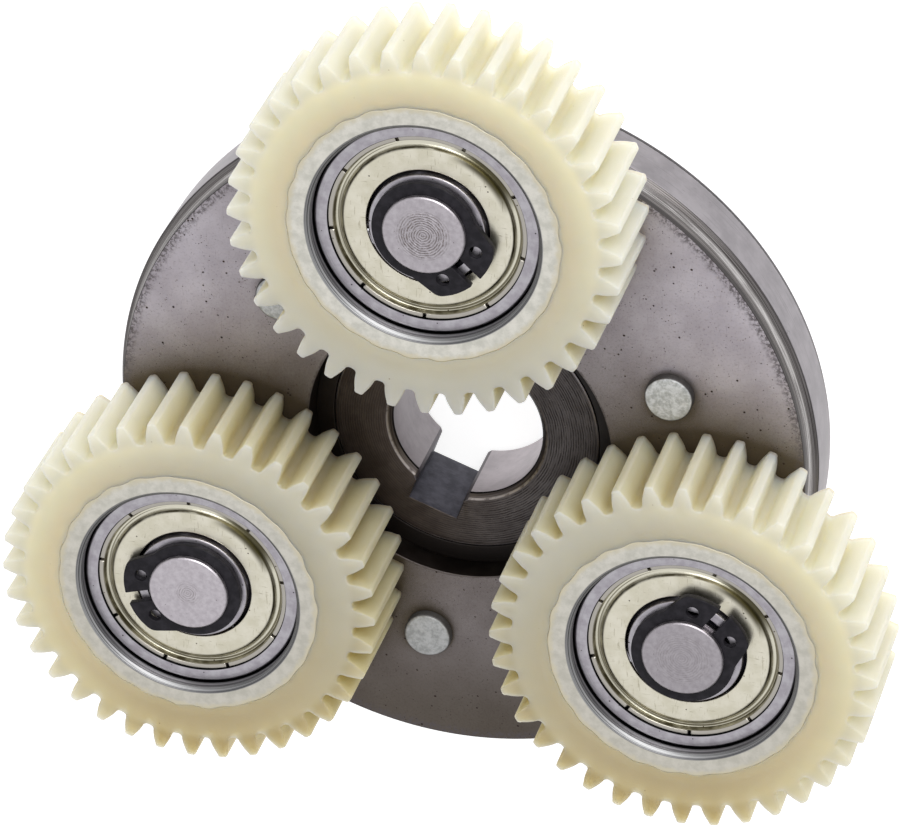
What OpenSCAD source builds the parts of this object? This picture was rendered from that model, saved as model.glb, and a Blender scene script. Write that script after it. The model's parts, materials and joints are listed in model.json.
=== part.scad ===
// Planetary gear set with a one-way roller clutch, as used in geared hub motors.
// A clutch carrier disc holds three nylon planet gears, each on its own ball bearing and pin.
// The keyed hub in the middle of the carrier is driven one way through spring-loaded rollers.
//
// Origin: on the main axis, at the rear face of the carrier's cover plate.
// +Z points along the main axis towards the planet gears. All sizes are in millimetres.

/* [Carrier] */
// Outside diameter of the carrier disc
carrier_d = 70; // [69:0.5:80]
// Thickness of the carrier disc and its cover plate together
carrier_thick = 8.2; // [8:0.1:9.5]
// Thickness of the rear cover plate
cover_thick = 0.8; // [0.6:0.1:1]
// Radius of the turned cove around the carrier's front edge
cove_r = 1.9; // [1:0.1:2.5]
// Radius of the circle that the rivets sit on
rivet_circle_r = 22.45; // [21.5:0.05:23]
// Angle of the first rivet about the main axis, in degrees
rivet_angle = 21.2; // [15:0.2:45]
// Diameter of a rivet's head
rivet_head_d = 4.8; // [4:0.1:5]
// Height of a rivet's head
rivet_head_h = 1.0; // [0.6:0.1:1.2]

/* [Hub] */
// Outside diameter of the hub, which is the clutch's inner race
hub_d = 26.6; // [26:0.1:27]
// Depth of the hub's front face below the carrier's front face
hub_recess = 2.65; // [2:0.05:2.8]
// Length of the hub's tail behind the cover plate
hub_tail = 3.6; // [3:0.1:8]
// Diameter of the hub's tail
hub_tail_d = 24.4; // [24:0.1:24.8]
// Diameter of the hub's bore
hub_bore_d = 15; // [12:0.5:16]
// Width of the keyway
keyway_w = 5; // [4:0.5:6]
// Distance from the bore's axis to the keyway's floor
keyway_floor = 10.1; // [9:0.1:10.2]
// Direction of the keyway about the main axis, in degrees
keyway_angle = 249.5; // [0:0.5:360]

/* [Clutch] */
// Number of clutch rollers
roller_count = 6; // [5:1:6]
// Diameter of a clutch roller
roller_d = 3.5; // [3.2:0.1:3.6]
// Length of a clutch roller
roller_len = 3.0; // [2.5:0.1:3.1]
// Direction of the first roller about the main axis, in degrees
roller_angle = 36; // [30:1:45]

/* [Gears] */
// Module of the gear teeth
gear_module = 1; // [1]
// Number of teeth on a planet gear
planet_teeth = 36; // [34:1:36]
// Number of teeth on the sun pinion that meshes with the planets
sun_teeth = 21; // [21:1:23]
// Pressure angle of the teeth, in degrees
pressure_angle = 20; // [20]
// Width of a planet gear along its axis
gear_width = 10.5; // [10:0.1:12]
// Gap between the planet gears and the carrier's front face
gear_gap = 0.55; // [0.4:0.05:0.8]
// Turn of the first planet gear's teeth, in degrees
tooth_turn_1 = 9.3; // [0:0.1:10]
// Turn of the second planet gear's teeth, in degrees
tooth_turn_2 = 8.6; // [0:0.1:10]
// Turn of the third planet gear's teeth, in degrees
tooth_turn_3 = 0; // [0:0.1:10]
// Outside diameter of the steel sleeve moulded into a planet gear
sleeve_d = 26.3; // [26:0.1:27]
// Number of grip lobes around the sleeve
sleeve_lobes = 26; // [20:1:30]
// Height of a grip lobe
lobe_h = 0.12; // [0.05:0.01:0.2]

/* [Bearings] */
// Bore of a planet bearing
bearing_bore_d = 8; // [8]
// Outside diameter of a planet bearing
bearing_d = 22; // [22]
// Width of a planet bearing
bearing_w = 7; // [7]
// Diameter of a bearing ball
ball_d = 3.969; // [3.969]
// Number of balls in a bearing
ball_count = 7; // [6:1:7]
// Depth of the bearing below the front face of the gear
bearing_depth = 1.4; // [1:0.1:1.6]

/* [Pins] */
// Height that a planet pin stands above its bearing
pin_proud = 1.3; // [1.2:0.05:1.6]
// Thickness of a circlip
circlip_t = 0.7; // [0.6:0.05:0.8]
// Direction of the first circlip's gap, in degrees
circlip_turn_1 = 316; // [0:1:360]
// Direction of the second circlip's gap, in degrees
circlip_turn_2 = 196; // [0:1:360]
// Direction of the third circlip's gap, in degrees
circlip_turn_3 = 53; // [0:1:360]

/* [Hidden] */
$fn = 96;

eps = 0.01;
planet_count = 3;

// Main radii and heights of the carrier and its hub
carrier_r = carrier_d / 2;
face_r = carrier_r - 0.9;
cover_r = carrier_r - 0.1;
hub_r = hub_d / 2;
hub_front_z = carrier_thick - hub_recess;
hub_shoulder_z = cover_thick + 0.1;
tail_r = hub_tail_d / 2;
tail_clearance = 0.08;
hub_bore_r = hub_bore_d / 2;
bore_chamfer = 0.55;
keyway_edge = 0.3;

// Clutch rollers, their pockets and springs
roller_r = roller_d / 2;
roller_gap = 0.01;
roller_circle_r = hub_r + roller_r + roller_gap;
pocket_clearance = 0.05;
carrier_bore_r = hub_r + 1.9;
pocket_top_z = cover_thick + roller_len + 0.3;
pocket_reach = 7.2;
spring_start = roller_r + 0.12;
spring_folds = 8;
spring_wall = 0.16;
retainer_gap = 0.05;

// Rivets
rivet_shank_r = 1.5;
fit_gap = 0.01;

// Snap ring on the hub's tail
snap_groove_r = tail_r - 0.7;
snap_ring_t = 1.2;
snap_ring_z = -0.12 - snap_ring_t;

// Planet positions and heights
planet_circle_r = gear_module * (sun_teeth + planet_teeth) / 2;
gear_z0 = carrier_thick + gear_gap;
gear_z1 = gear_z0 + gear_width;
bearing_z1 = gear_z1 - bearing_depth;
bearing_z0 = bearing_z1 - bearing_w;
bearing_mid_z = (bearing_z0 + bearing_z1) / 2;

// Tooth form
pitch_r = gear_module * planet_teeth / 2;
base_r = pitch_r * cos(pressure_angle);
tip_r = pitch_r + gear_module;
root_r = pitch_r - 1.25 * gear_module;
backlash_deg = 0.12;
half_tooth = 90 / planet_teeth - backlash_deg;
tip_round = 0.28;
root_round = 0.3;

// Bearing sections
bearing_r = bearing_d / 2;
bearing_bore_r = bearing_bore_d / 2;
ball_r = ball_d / 2;
ball_circle_r = (bearing_r + bearing_bore_r) / 2;
race_groove_r = ball_r + 0.045;
outer_land_r = ball_circle_r + 1.5;
inner_land_r = ball_circle_r - 1.5;
inner_step_r = 5.6;
shield_seat_r = 9.6;
shield_seat_depth = 1.2;
shield_hole_r = 5.96;
shield_t = 0.25;
notch_count = 9;
ring_edge = 0.3;

// Sleeve around the bearing
sleeve_r = sleeve_d / 2;
sleeve_lip_r = 9.9;
sleeve_chamfer = 0.4;

// Planet pins and circlips
pin_r = bearing_bore_r - fit_gap;
pin_top_z = bearing_z1 + pin_proud;
pin_bottom_z = 0.05;
groove_depth = 0.2;
circlip_z = bearing_z1 + 0.04;
spacer_r = 5.5;
circlip_w = 1.35;
lug_r = 6.75;
lug_hole_circle_r = 5.05;
lug_hole_r = 0.62;

function polar(r, a) = [r * cos(a), r * sin(a)];
function planet_angle(n) = 90 + 120 * (n - 1);

// Involute tooth: half of the tooth's width at radius r, as an angle in degrees
function involute(a) = tan(a) - a * PI / 180;
function flank_angle(r) =
    half_tooth + (involute(pressure_angle) - involute(acos(min(1, base_r / r)))) * 180 / PI;

// Half of one tooth from the middle of the gap up to the tip, as [radius, angle] pairs
function half_tooth_profile() = let (
    foot_r = root_r + root_round,
    foot_a = flank_angle(max(base_r, foot_r)),
    shoulder_r = tip_r - tip_round,
    shoulder_a = flank_angle(shoulder_r),
    fillet_a = root_round / root_r * 180 / PI,
    round_a = tip_round / tip_r * 180 / PI
) concat(
    [for (s = [0, 45]) [foot_r - root_round * cos(s), foot_a + fillet_a * (1 - sin(s))]],
    [for (i = [0:3]) let (r = foot_r + (shoulder_r - foot_r) * i / 3) [r, flank_angle(r)]],
    [for (s = [45, 90]) [shoulder_r + tip_round * sin(s), shoulder_a - round_a * (1 - cos(s))]]
);

function gear_points() = let (
    half = half_tooth_profile(),
    n = len(half)
) [
    for (t = [0:planet_teeth - 1]) let (mid = t * 360 / planet_teeth)
    for (i = [0:2 * n - 1]) i < n
        ? polar(half[i][0], mid - half[i][1])
        : polar(half[2 * n - 1 - i][0], mid + half[2 * n - 1 - i][1])
];

// Wavy grip outline shared by the sleeve and the hole in the gear around it
function lobe_points(clearance) = [
    for (i = [0:sleeve_lobes * 8 - 1]) let (a = i * 360 / (sleeve_lobes * 8))
    polar(sleeve_r + clearance + lobe_h * cos(a * sleeve_lobes), a)
];

// Accordion spring: a folded strip running along +Y, between x0 and x1.
// The strip's sides are set apart along X, so each fold keeps the same wall.
function zigzag(x0, x1, y0, y1, wall) = let (
    n = spring_folds,
    step = (y1 - y0) / n,
    half = wall / 2 * norm([x1 - x0, step]) / step,
    mid = [for (i = [0:n]) [i % 2 == 0 ? x0 + half : x1 - half, y0 + step * i]]
) concat(
    [for (p = mid) [p[0] - half, p[1]]],
    [for (i = [n:-1:0]) [mid[i][0] + half, mid[i][1]]]
);

module ring(r_out, r_in, z0, z1) {
    translate([0, 0, z0]) difference() {
        cylinder(r = r_out, h = z1 - z0);
        translate([0, 0, -1]) cylinder(r = r_in, h = z1 - z0 + 2);
    }
}

module hole(r, z0, z1) {
    translate([0, 0, z0]) cylinder(r = r, h = z1 - z0);
}

module at_planet(n) {
    translate(concat(polar(planet_circle_r, planet_angle(n)), [0])) children();
}

module at_rivets() {
    for (i = [0:2]) rotate(rivet_angle + 120 * i) translate([rivet_circle_r, 0, 0]) children();
}

module at_roller(i) {
    rotate(roller_angle + 360 / roller_count * (i - 1)) children();
}

// Room for one roller and the spring beside it
module roller_pocket() {
    translate([roller_circle_r, 0, cover_thick - 1])
        cylinder(r = roller_r + pocket_clearance, h = pocket_top_z - cover_thick + 1);
    translate([hub_r + 0.5, 0, cover_thick - 1])
        cube([roller_d - 0.6, pocket_reach, pocket_top_z - cover_thick + 1]);
}

// Retaining ring with two pierced lugs, either side of a parallel gap that points along +X.
// lug = [radius reached, angle its tip spans to, angle where its side meets the ring]
module retaining_ring(r_in, wide, lug, hole_circle_r, hole_angle, hole_r, gap_w, t) {
    shift = wide * 0.07;
    body_r = r_in + wide - shift;
    difference() {
        union() {
            translate([-shift, 0, 0]) cylinder(r = body_r, h = t);
            intersection() {
                cylinder(r = lug[0], h = t);
                linear_extrude(t) polygon([
                    [0, 0], polar(body_r - shift, -lug[2]), polar(lug[0], -lug[1]),
                    polar(lug[0] * 1.2, -lug[1] / 2), polar(lug[0] * 1.2, lug[1] / 2),
                    polar(lug[0], lug[1]), polar(body_r - shift, lug[2])
                ]);
            }
        }
        translate([0, 0, -1]) cylinder(r = r_in, h = t + 2);
        translate([0, -gap_w / 2, -1]) cube([lug[0] * 2, gap_w, t + 2]);
        for (side = [-1, 1]) rotate(side * hole_angle)
            translate([hole_circle_r, 0, -1]) cylinder(r = hole_r, h = t + 2);
    }
}

module carrier_disc() {
    color([0.62, 0.59, 0.62]) difference() {
        translate([0, 0, cover_thick]) cylinder(r = carrier_r, h = carrier_thick - cover_thick);
        hole(carrier_bore_r, 0, carrier_thick + 1);
        // Turned cove around the front edge
        ring(carrier_r + 3, face_r, carrier_thick - 0.8, carrier_thick + 1);
        rotate_extrude() translate([face_r + cove_r, carrier_thick - 0.8]) circle(r = cove_r);
        for (i = [1:roller_count]) at_roller(i) roller_pocket();
        at_rivets() hole(rivet_shank_r + fit_gap, 0, carrier_thick + 1);
        for (n = [1:planet_count]) at_planet(n) hole(bearing_bore_r, 0, carrier_thick + 1);
    }
}

module back_cover() {
    edge = 0.25;
    color([0.60, 0.58, 0.60]) difference() {
        rotate_extrude() polygon([
            [tail_r + tail_clearance, 0], [cover_r - edge, 0], [cover_r, edge],
            [cover_r, cover_thick], [tail_r + tail_clearance, cover_thick]
        ]);
        at_rivets() hole(rivet_shank_r + fit_gap, -1, cover_thick + 1);
        for (n = [1:planet_count]) at_planet(n) hole(bearing_bore_r + 0.05, -1, cover_thick + 1);
    }
}

// Keyway cut along +X, with a broken edge between each of its sides and the bore
module keyway_cut(z0, z1) {
    half = keyway_w / 2;
    on_wall = [sqrt(pow(hub_bore_r, 2) - pow(half, 2)) + keyway_edge, half];
    on_bore = polar(hub_bore_r, asin(half / hub_bore_r) + keyway_edge / hub_bore_r * 180 / PI);
    in_bore = on_bore + (on_bore - on_wall) * 0.5;
    translate([0, 0, z0]) linear_extrude(z1 - z0) polygon([
        [0, 0], [in_bore[0], -in_bore[1]], [on_wall[0], -half], [keyway_floor, -half],
        [keyway_floor, half], on_wall, in_bore
    ]);
}

module clutch_hub() {
    color([0.24, 0.21, 0.21]) difference() {
        rotate_extrude() polygon([
            [hub_bore_r, -hub_tail + 0.4], [hub_bore_r + 0.4, -hub_tail],
            [tail_r - 0.4, -hub_tail], [tail_r, -hub_tail + 0.4],
            [tail_r, hub_shoulder_z], [hub_r, hub_shoulder_z],
            [hub_r, hub_front_z - 0.2], [hub_r - 0.2, hub_front_z],
            [hub_bore_r + bore_chamfer, hub_front_z],
            [hub_bore_r, hub_front_z - bore_chamfer - 0.1]
        ]);
        ring(tail_r + 1, snap_groove_r, snap_ring_z - 0.04, snap_ring_z + snap_ring_t + 0.04);
        rotate(keyway_angle) {
            keyway_cut(-hub_tail - 1, hub_front_z + 1);
            // Broken edges where the keyway meets the bore's mouth
            translate([0, 0, hub_front_z]) rotate([0, 90, 0]) linear_extrude(keyway_floor)
                polygon([
                    [-1, -keyway_w / 2 - keyway_edge - 1], [-1, keyway_w / 2 + keyway_edge + 1],
                    [keyway_edge + 1, keyway_w / 2 - 1], [keyway_edge + 1, 1 - keyway_w / 2]
                ]);
        }
    }
}

module hub_snap_ring() {
    color([0.15, 0.15, 0.16]) translate([0, 0, snap_ring_z]) rotate(keyway_angle + 180)
        retaining_ring(snap_groove_r + 0.03, 2.6, [15.4, 22, 34], 13.5, 16, 0.9, 3.4, snap_ring_t);
}

module roller_retainer() {
    color([0.2, 0.19, 0.19])
        ring(carrier_bore_r - fit_gap, hub_r + 0.06, pocket_top_z, hub_front_z - retainer_gap);
}

module clutch_roller(i) {
    edge = 0.15;
    z0 = cover_thick + 0.12;
    color([0.75, 0.75, 0.77]) at_roller(i) translate([roller_circle_r, 0, z0])
        rotate_extrude() polygon([
            [0, 0], [roller_r - edge, 0], [roller_r, edge],
            [roller_r, roller_len - edge], [roller_r - edge, roller_len], [0, roller_len]
        ]);
}

module roller_springs() {
    x0 = hub_r + 0.65;
    color([0.7, 0.7, 0.72]) for (i = [1:roller_count]) at_roller(i)
        translate([0, 0, cover_thick + 0.3]) linear_extrude(roller_len - 0.4)
            polygon(zigzag(x0, x0 + roller_d - 1, spring_start, pocket_reach - 0.1, spring_wall));
}

module rivets() {
    edge = 0.3;
    tail_r2 = rivet_head_d / 2 - 0.1;
    color([0.80, 0.81, 0.82]) at_rivets() rotate_extrude() polygon([
        [0, -0.8], [tail_r2 - edge, -0.8], [tail_r2, -0.8 + edge], [tail_r2, 0],
        [rivet_shank_r, 0], [rivet_shank_r, carrier_thick],
        [rivet_head_d / 2, carrier_thick],
        [rivet_head_d / 2, carrier_thick + rivet_head_h - edge],
        [rivet_head_d / 2 - edge, carrier_thick + rivet_head_h],
        [0, carrier_thick + rivet_head_h]
    ]);
}

module planet_gear(n, turn) {
    color([0.93, 0.89, 0.75]) at_planet(n) translate([0, 0, gear_z0])
        linear_extrude(gear_width) difference() {
            rotate(turn) polygon(gear_points());
            polygon(lobe_points(fit_gap));
        }
}

module gear_sleeve(n) {
    color([0.72, 0.73, 0.72]) at_planet(n) difference() {
        translate([0, 0, gear_z0]) linear_extrude(gear_width) polygon(lobe_points(0));
        hole(bearing_r + fit_gap, bearing_z0, gear_z1 + 1);
        hole(sleeve_lip_r, gear_z0 - 1, bearing_z0 + 1);
        translate([0, 0, gear_z1 - sleeve_chamfer + eps]) cylinder(
            r1 = bearing_r + fit_gap, r2 = bearing_r + sleeve_chamfer, h = sleeve_chamfer);
    }
}

module race_groove() {
    translate([0, 0, bearing_mid_z])
        rotate_extrude() translate([ball_circle_r, 0]) circle(r = race_groove_r);
}

module bearing_outer_ring(n) {
    color([0.70, 0.68, 0.71]) at_planet(n) difference() {
        rotate_extrude() polygon([
            [outer_land_r, bearing_z0 + shield_seat_depth], [shield_seat_r, bearing_z0 + shield_seat_depth],
            [shield_seat_r, bearing_z0], [bearing_r - ring_edge, bearing_z0],
            [bearing_r, bearing_z0 + ring_edge], [bearing_r, bearing_z1 - ring_edge],
            [bearing_r - ring_edge, bearing_z1], [shield_seat_r, bearing_z1],
            [shield_seat_r, bearing_z1 - shield_seat_depth],
            [outer_land_r, bearing_z1 - shield_seat_depth]
        ]);
        race_groove();
    }
}

module bearing_inner_ring(n) {
    step = 1.3;
    color([0.72, 0.70, 0.72]) at_planet(n) difference() {
        rotate_extrude() polygon([
            [bearing_bore_r, bearing_z0 + ring_edge], [bearing_bore_r + ring_edge, bearing_z0],
            [inner_step_r, bearing_z0], [inner_step_r, bearing_z0 + step],
            [inner_land_r, bearing_z0 + step], [inner_land_r, bearing_z1 - step],
            [inner_step_r, bearing_z1 - step], [inner_step_r, bearing_z1],
            [bearing_bore_r + ring_edge, bearing_z1], [bearing_bore_r, bearing_z1 - ring_edge]
        ]);
        race_groove();
    }
}

module bearing_balls(n) {
    color([0.85, 0.86, 0.88]) at_planet(n) for (i = [0:ball_count - 1])
        rotate(360 / ball_count * i) translate([ball_circle_r, 0, bearing_mid_z])
            sphere(r = ball_r);
}

// Crown cage: a ring above the balls with fingers that reach down between them
module ball_cage(n) {
    half_w = 0.55;
    finger_depth = 1.0;
    crown_height = 2.35;
    color([0.55, 0.5, 0.42]) at_planet(n) difference() {
        ring(ball_circle_r + half_w, ball_circle_r - half_w, bearing_mid_z - finger_depth,
            bearing_mid_z + crown_height);
        for (i = [0:ball_count - 1])
            rotate(360 / ball_count * i) translate([ball_circle_r, 0, bearing_mid_z])
                sphere(r = ball_r + 0.04);
    }
}

// Pressed shield, its outer face at height 0 and facing +Z
module shield(notch_turn) {
    rim_r = shield_seat_r - fit_gap;
    difference() {
        rotate_extrude() polygon([
            [shield_hole_r, -0.38], [8.15, -0.38], [8.45, -0.8], [9.0, -0.8], [9.2, -0.2],
            [rim_r, -0.2], [rim_r, -0.75], [9.35, -0.8], [9.2, -0.8 - shield_t],
            [8.3, -0.8 - shield_t], [8.0, -0.38 - shield_t], [shield_hole_r, -0.38 - shield_t]
        ]);
        for (i = [0:notch_count - 1]) rotate(notch_turn + 360 / notch_count * i)
            translate([9.1, -0.15, -0.5]) cube([1, 0.3, 1]);
    }
}

module front_shield(n, notch_turn) {
    color([0.80, 0.77, 0.66]) at_planet(n) translate([0, 0, bearing_z1]) shield(notch_turn);
}

module back_shield(n, notch_turn) {
    color([0.80, 0.77, 0.66]) at_planet(n) translate([0, 0, bearing_z0])
        rotate([180, 0, 0]) shield(notch_turn);
}

module planet_pin(n) {
    edge = 0.2;
    groove_r = pin_r - groove_depth;
    color([0.68, 0.65, 0.68]) at_planet(n) rotate_extrude() polygon([
        [0, pin_bottom_z], [pin_r - edge, pin_bottom_z], [pin_r, pin_bottom_z + edge],
        [pin_r, circlip_z - 0.03], [groove_r, circlip_z - 0.03],
        [groove_r, circlip_z + circlip_t + 0.03], [pin_r, circlip_z + circlip_t + 0.03],
        [pin_r, pin_top_z - edge], [pin_r - edge, pin_top_z], [0, pin_top_z]
    ]);
}

module circlip(n, turn) {
    color([0.16, 0.15, 0.17]) at_planet(n) translate([0, 0, circlip_z]) rotate(turn)
        retaining_ring(pin_r - groove_depth + 0.02, circlip_w, [lug_r, 36, 62],
            lug_hole_circle_r, 27, lug_hole_r, 1.2, circlip_t);
}

module spacer(n) {
    color([0.6, 0.6, 0.62]) at_planet(n)
        ring(spacer_r, bearing_bore_r + 0.05, carrier_thick, bearing_z0);
}

carrier_disc();
back_cover();
clutch_hub();
hub_snap_ring();
roller_retainer();
clutch_roller(1);  // clutch_roller_1
clutch_roller(2);  // clutch_roller_2
clutch_roller(3);  // clutch_roller_3
clutch_roller(4);  // clutch_roller_4
clutch_roller(5);  // clutch_roller_5
clutch_roller(6);  // clutch_roller_6
roller_springs();
rivets();

planet_gear(1, tooth_turn_1);  // planet_gear_1
gear_sleeve(1);  // gear_sleeve_1
bearing_outer_ring(1);  // bearing_outer_ring_1
bearing_inner_ring(1);  // bearing_inner_ring_1
bearing_balls(1);  // bearing_balls_1
ball_cage(1);  // ball_cage_1
front_shield(1, 27);  // front_shield_1
back_shield(1, 15);  // back_shield_1
planet_pin(1);  // planet_pin_1
circlip(1, circlip_turn_1);  // circlip_1
spacer(1);  // spacer_1

planet_gear(2, tooth_turn_2);  // planet_gear_2
gear_sleeve(2);  // gear_sleeve_2
bearing_outer_ring(2);  // bearing_outer_ring_2
bearing_inner_ring(2);  // bearing_inner_ring_2
bearing_balls(2);  // bearing_balls_2
ball_cage(2);  // ball_cage_2
front_shield(2, 10);  // front_shield_2
back_shield(2, 0);  // back_shield_2
planet_pin(2);  // planet_pin_2
circlip(2, circlip_turn_2);  // circlip_2
spacer(2);  // spacer_2

planet_gear(3, tooth_turn_3);  // planet_gear_3
gear_sleeve(3);  // gear_sleeve_3
bearing_outer_ring(3);  // bearing_outer_ring_3
bearing_inner_ring(3);  // bearing_inner_ring_3
bearing_balls(3);  // bearing_balls_3
ball_cage(3);  // ball_cage_3
front_shield(3, 32.5);  // front_shield_3
back_shield(3, 22);  // back_shield_3
planet_pin(3);  // planet_pin_3
circlip(3, circlip_turn_3);  // circlip_3
spacer(3);  // spacer_3
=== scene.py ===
"""Looks for the planetary gear set: meshes, materials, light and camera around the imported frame."""

import json
import math

import bpy
import numpy as np
from mathutils import Matrix, Vector


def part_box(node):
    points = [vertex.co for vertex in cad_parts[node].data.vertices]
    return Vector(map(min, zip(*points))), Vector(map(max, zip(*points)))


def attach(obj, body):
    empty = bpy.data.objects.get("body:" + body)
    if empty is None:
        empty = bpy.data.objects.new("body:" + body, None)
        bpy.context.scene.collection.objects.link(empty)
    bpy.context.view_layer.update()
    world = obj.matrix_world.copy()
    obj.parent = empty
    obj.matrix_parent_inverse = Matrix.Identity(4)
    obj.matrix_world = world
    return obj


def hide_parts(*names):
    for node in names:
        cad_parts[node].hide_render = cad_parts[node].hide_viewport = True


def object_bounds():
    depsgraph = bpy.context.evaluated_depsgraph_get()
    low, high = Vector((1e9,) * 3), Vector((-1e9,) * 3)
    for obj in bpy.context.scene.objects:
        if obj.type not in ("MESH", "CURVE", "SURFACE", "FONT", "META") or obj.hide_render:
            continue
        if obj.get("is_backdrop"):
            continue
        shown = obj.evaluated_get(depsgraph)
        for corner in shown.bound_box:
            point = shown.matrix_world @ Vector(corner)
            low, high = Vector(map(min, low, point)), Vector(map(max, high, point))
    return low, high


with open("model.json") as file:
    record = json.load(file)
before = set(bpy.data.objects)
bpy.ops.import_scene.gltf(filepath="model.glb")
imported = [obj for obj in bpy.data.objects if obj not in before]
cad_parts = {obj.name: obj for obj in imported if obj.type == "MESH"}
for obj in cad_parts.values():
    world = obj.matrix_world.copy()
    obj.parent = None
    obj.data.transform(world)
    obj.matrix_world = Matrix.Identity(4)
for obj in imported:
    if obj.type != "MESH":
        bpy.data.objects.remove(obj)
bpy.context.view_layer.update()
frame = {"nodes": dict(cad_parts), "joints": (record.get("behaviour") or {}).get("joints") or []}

MM = 0.001
TAU = 2 * math.pi
PLANETS = (1, 2, 3)
SHARP_DEG = 32
PLATE_SHARP_DEG = 40

# ---- Places, from the frame, in mm ----


def box_mm(node):
    """Lowest and highest corner of a CAD node in millimetres."""
    lo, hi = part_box(node)
    return np.array(lo) / MM, np.array(hi) / MM


def joint_place(name):
    """Where a joint's axis stands, in millimetres."""
    joint = next(j for j in frame["joints"] if j["name"] == name)
    return np.array(joint["pos_m"][:2]) / MM


CARRIER_LO, CARRIER_HI = box_mm("carrier_disc")
COVER_LO, COVER_HI = box_mm("back_cover")
HUB_LO, HUB_HI = box_mm("clutch_hub")
SNAP_LO, SNAP_HI = box_mm("hub_snap_ring")
GEAR_LO, GEAR_HI = box_mm("planet_gear_1")
BEARING_LO, BEARING_HI = box_mm("bearing_outer_ring_1")
PIN_LO, PIN_HI = box_mm("planet_pin_1")
CLIP_LO, CLIP_HI = box_mm("circlip_1")
RIVET_LO, RIVET_HI = box_mm("rivets")
RETAINER_LO, RETAINER_HI = box_mm("roller_retainer")
CENTRES = {n: joint_place(f"planet_turn_{n}") for n in PLANETS}

CARRIER_R = CARRIER_HI[0]
FACE_R = CARRIER_R - 0.9
FACE_Z = CARRIER_HI[2]
RECESS_R = 15.2
COVE_R = 1.9
COVE_TOP = 0.8
COVER_BORE_R = 12.28
PIN_HOLE_R = 4.0
SHANK_R = 1.5
HUB_BORE_R = 7.5
TAIL_R = 12.2
GEAR_Z0, GEAR_Z1 = GEAR_LO[2], GEAR_HI[2]
BEARING_Z0, BEARING_Z1 = BEARING_LO[2], BEARING_HI[2]

# Gear teeth
TEETH = 36
TOOTH_TURN = {1: 9.3, 2: 8.6, 3: 0.0}
PITCH_R = 18.0
BASE_R = PITCH_R * math.cos(math.radians(20))
TIP_R = PITCH_R + 1.0
ROOT_R = PITCH_R - 1.25
HALF_TOOTH = math.pi / 2 / TEETH - math.radians(0.12)

# Sleeve grip lobes
SLEEVE_R = 13.15
LOBES = 26
LOBE_H = 0.12

# ---- Mesh helpers ----


def add_object(name, data):
    obj = bpy.data.objects.new(name, data)
    bpy.context.scene.collection.objects.link(obj)
    return obj


def evaluated_mesh(obj):
    """The object's mesh with its modifiers or its curve settings applied."""
    bpy.context.view_layer.update()
    graph = bpy.context.evaluated_depsgraph_get()
    return bpy.data.meshes.new_from_object(obj.evaluated_get(graph))


def faces_volume(verts, faces):
    """Positive when the faces of a closed skin look outwards."""
    total = 0.0
    for size in sorted({len(face) for face in faces}):
        fan = np.array([face for face in faces if len(face) == size])
        for k in range(1, size - 1):
            a, b, c = (verts[fan[:, i]] for i in (0, k, k + 1))
            total += float(np.sum(a * np.cross(b, c)))
    return total


def finish_mesh(name, verts, faces, mats, mat_index=None, sharp=SHARP_DEG):
    """A smooth-shaded object from millimetre vertices. Edges sharper than the limit stay crisp."""
    if faces_volume(np.asarray(verts), faces) < 0:
        faces = [face[::-1] for face in faces]
    mesh = bpy.data.meshes.new(name)
    mesh.from_pydata([tuple(v) for v in np.asarray(verts) * MM], [], faces)
    for m in mats:
        mesh.materials.append(m)
    if mat_index is not None:
        mesh.polygons.foreach_set("material_index", mat_index)
    mesh.shade_smooth()
    mesh.set_sharp_from_angle(angle=math.radians(sharp))
    mesh.update()
    return add_object(name, mesh)


def loft_data(loops, closed=True, cap_start=False, cap_end=False, mat_of=None):
    """Vertices, faces and material numbers of a skin through loops that have equal point counts."""
    count = len(loops[0])
    verts = np.concatenate(loops)
    faces, index = [], []
    strips = len(loops) if closed else len(loops) - 1
    for s in range(strips):
        a, b = s * count, ((s + 1) % len(loops)) * count
        for k in range(count):
            j = (k + 1) % count
            faces.append((a + k, b + k, b + j, a + j))
            index.append(mat_of(s, k) if mat_of else 0)
    extra = []
    for wanted, s, turn in ((cap_start, 0, 1), (cap_end, len(loops) - 1, -1)):
        if wanted:
            middle = len(verts) + len(extra)
            extra.append(loops[s].mean(axis=0))
            for k in range(count):
                j = (k + 1) % count
                ring = (s * count + k, s * count + j)[::turn]
                faces.append((middle, *ring))
                index.append(mat_of(max(0, min(s, strips - 1)), k) if mat_of else 0)
    if extra:
        verts = np.concatenate([verts, np.array(extra)])
    return verts, faces, index


def join_data(parts):
    """One mesh from several (verts, faces, index) sets."""
    verts, faces, index, base = [], [], [], 0
    for v, f, i in parts:
        verts.append(v)
        faces += [tuple(k + base for k in face) for face in f]
        index += list(i)
        base += len(v)
    return np.concatenate(verts), faces, index


def soften(points, steps=4, closed=True):
    """Rounds a polyline's corners. Each point is (x, y, corner radius) and a tag, 0 if left out."""
    out = []
    n = len(points)
    for i, (x, y, radius, *tag) in enumerate(points):
        tag = tag[0] if tag else 0
        p = np.array((x, y))
        if radius <= 0 or (not closed and i in (0, n - 1)):
            out.append((x, y, tag))
            continue
        before = np.array(points[i - 1][:2]) - p
        after = np.array(points[(i + 1) % n][:2]) - p
        reach = min(radius, 0.45 * np.linalg.norm(before), 0.45 * np.linalg.norm(after))
        a = p + before / np.linalg.norm(before) * reach
        b = p + after / np.linalg.norm(after) * reach
        for s in range(steps + 1):
            t = s / steps
            q = (1 - t) ** 2 * a + 2 * t * (1 - t) * p + t * t * b
            out.append((q[0], q[1], tag))
    return out


def signed_area(points):
    """Positive for an outline that runs anticlockwise."""
    x, y = np.array(points).T
    return float(np.sum(x * np.roll(y, -1) - np.roll(x, -1) * y)) / 2


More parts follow.
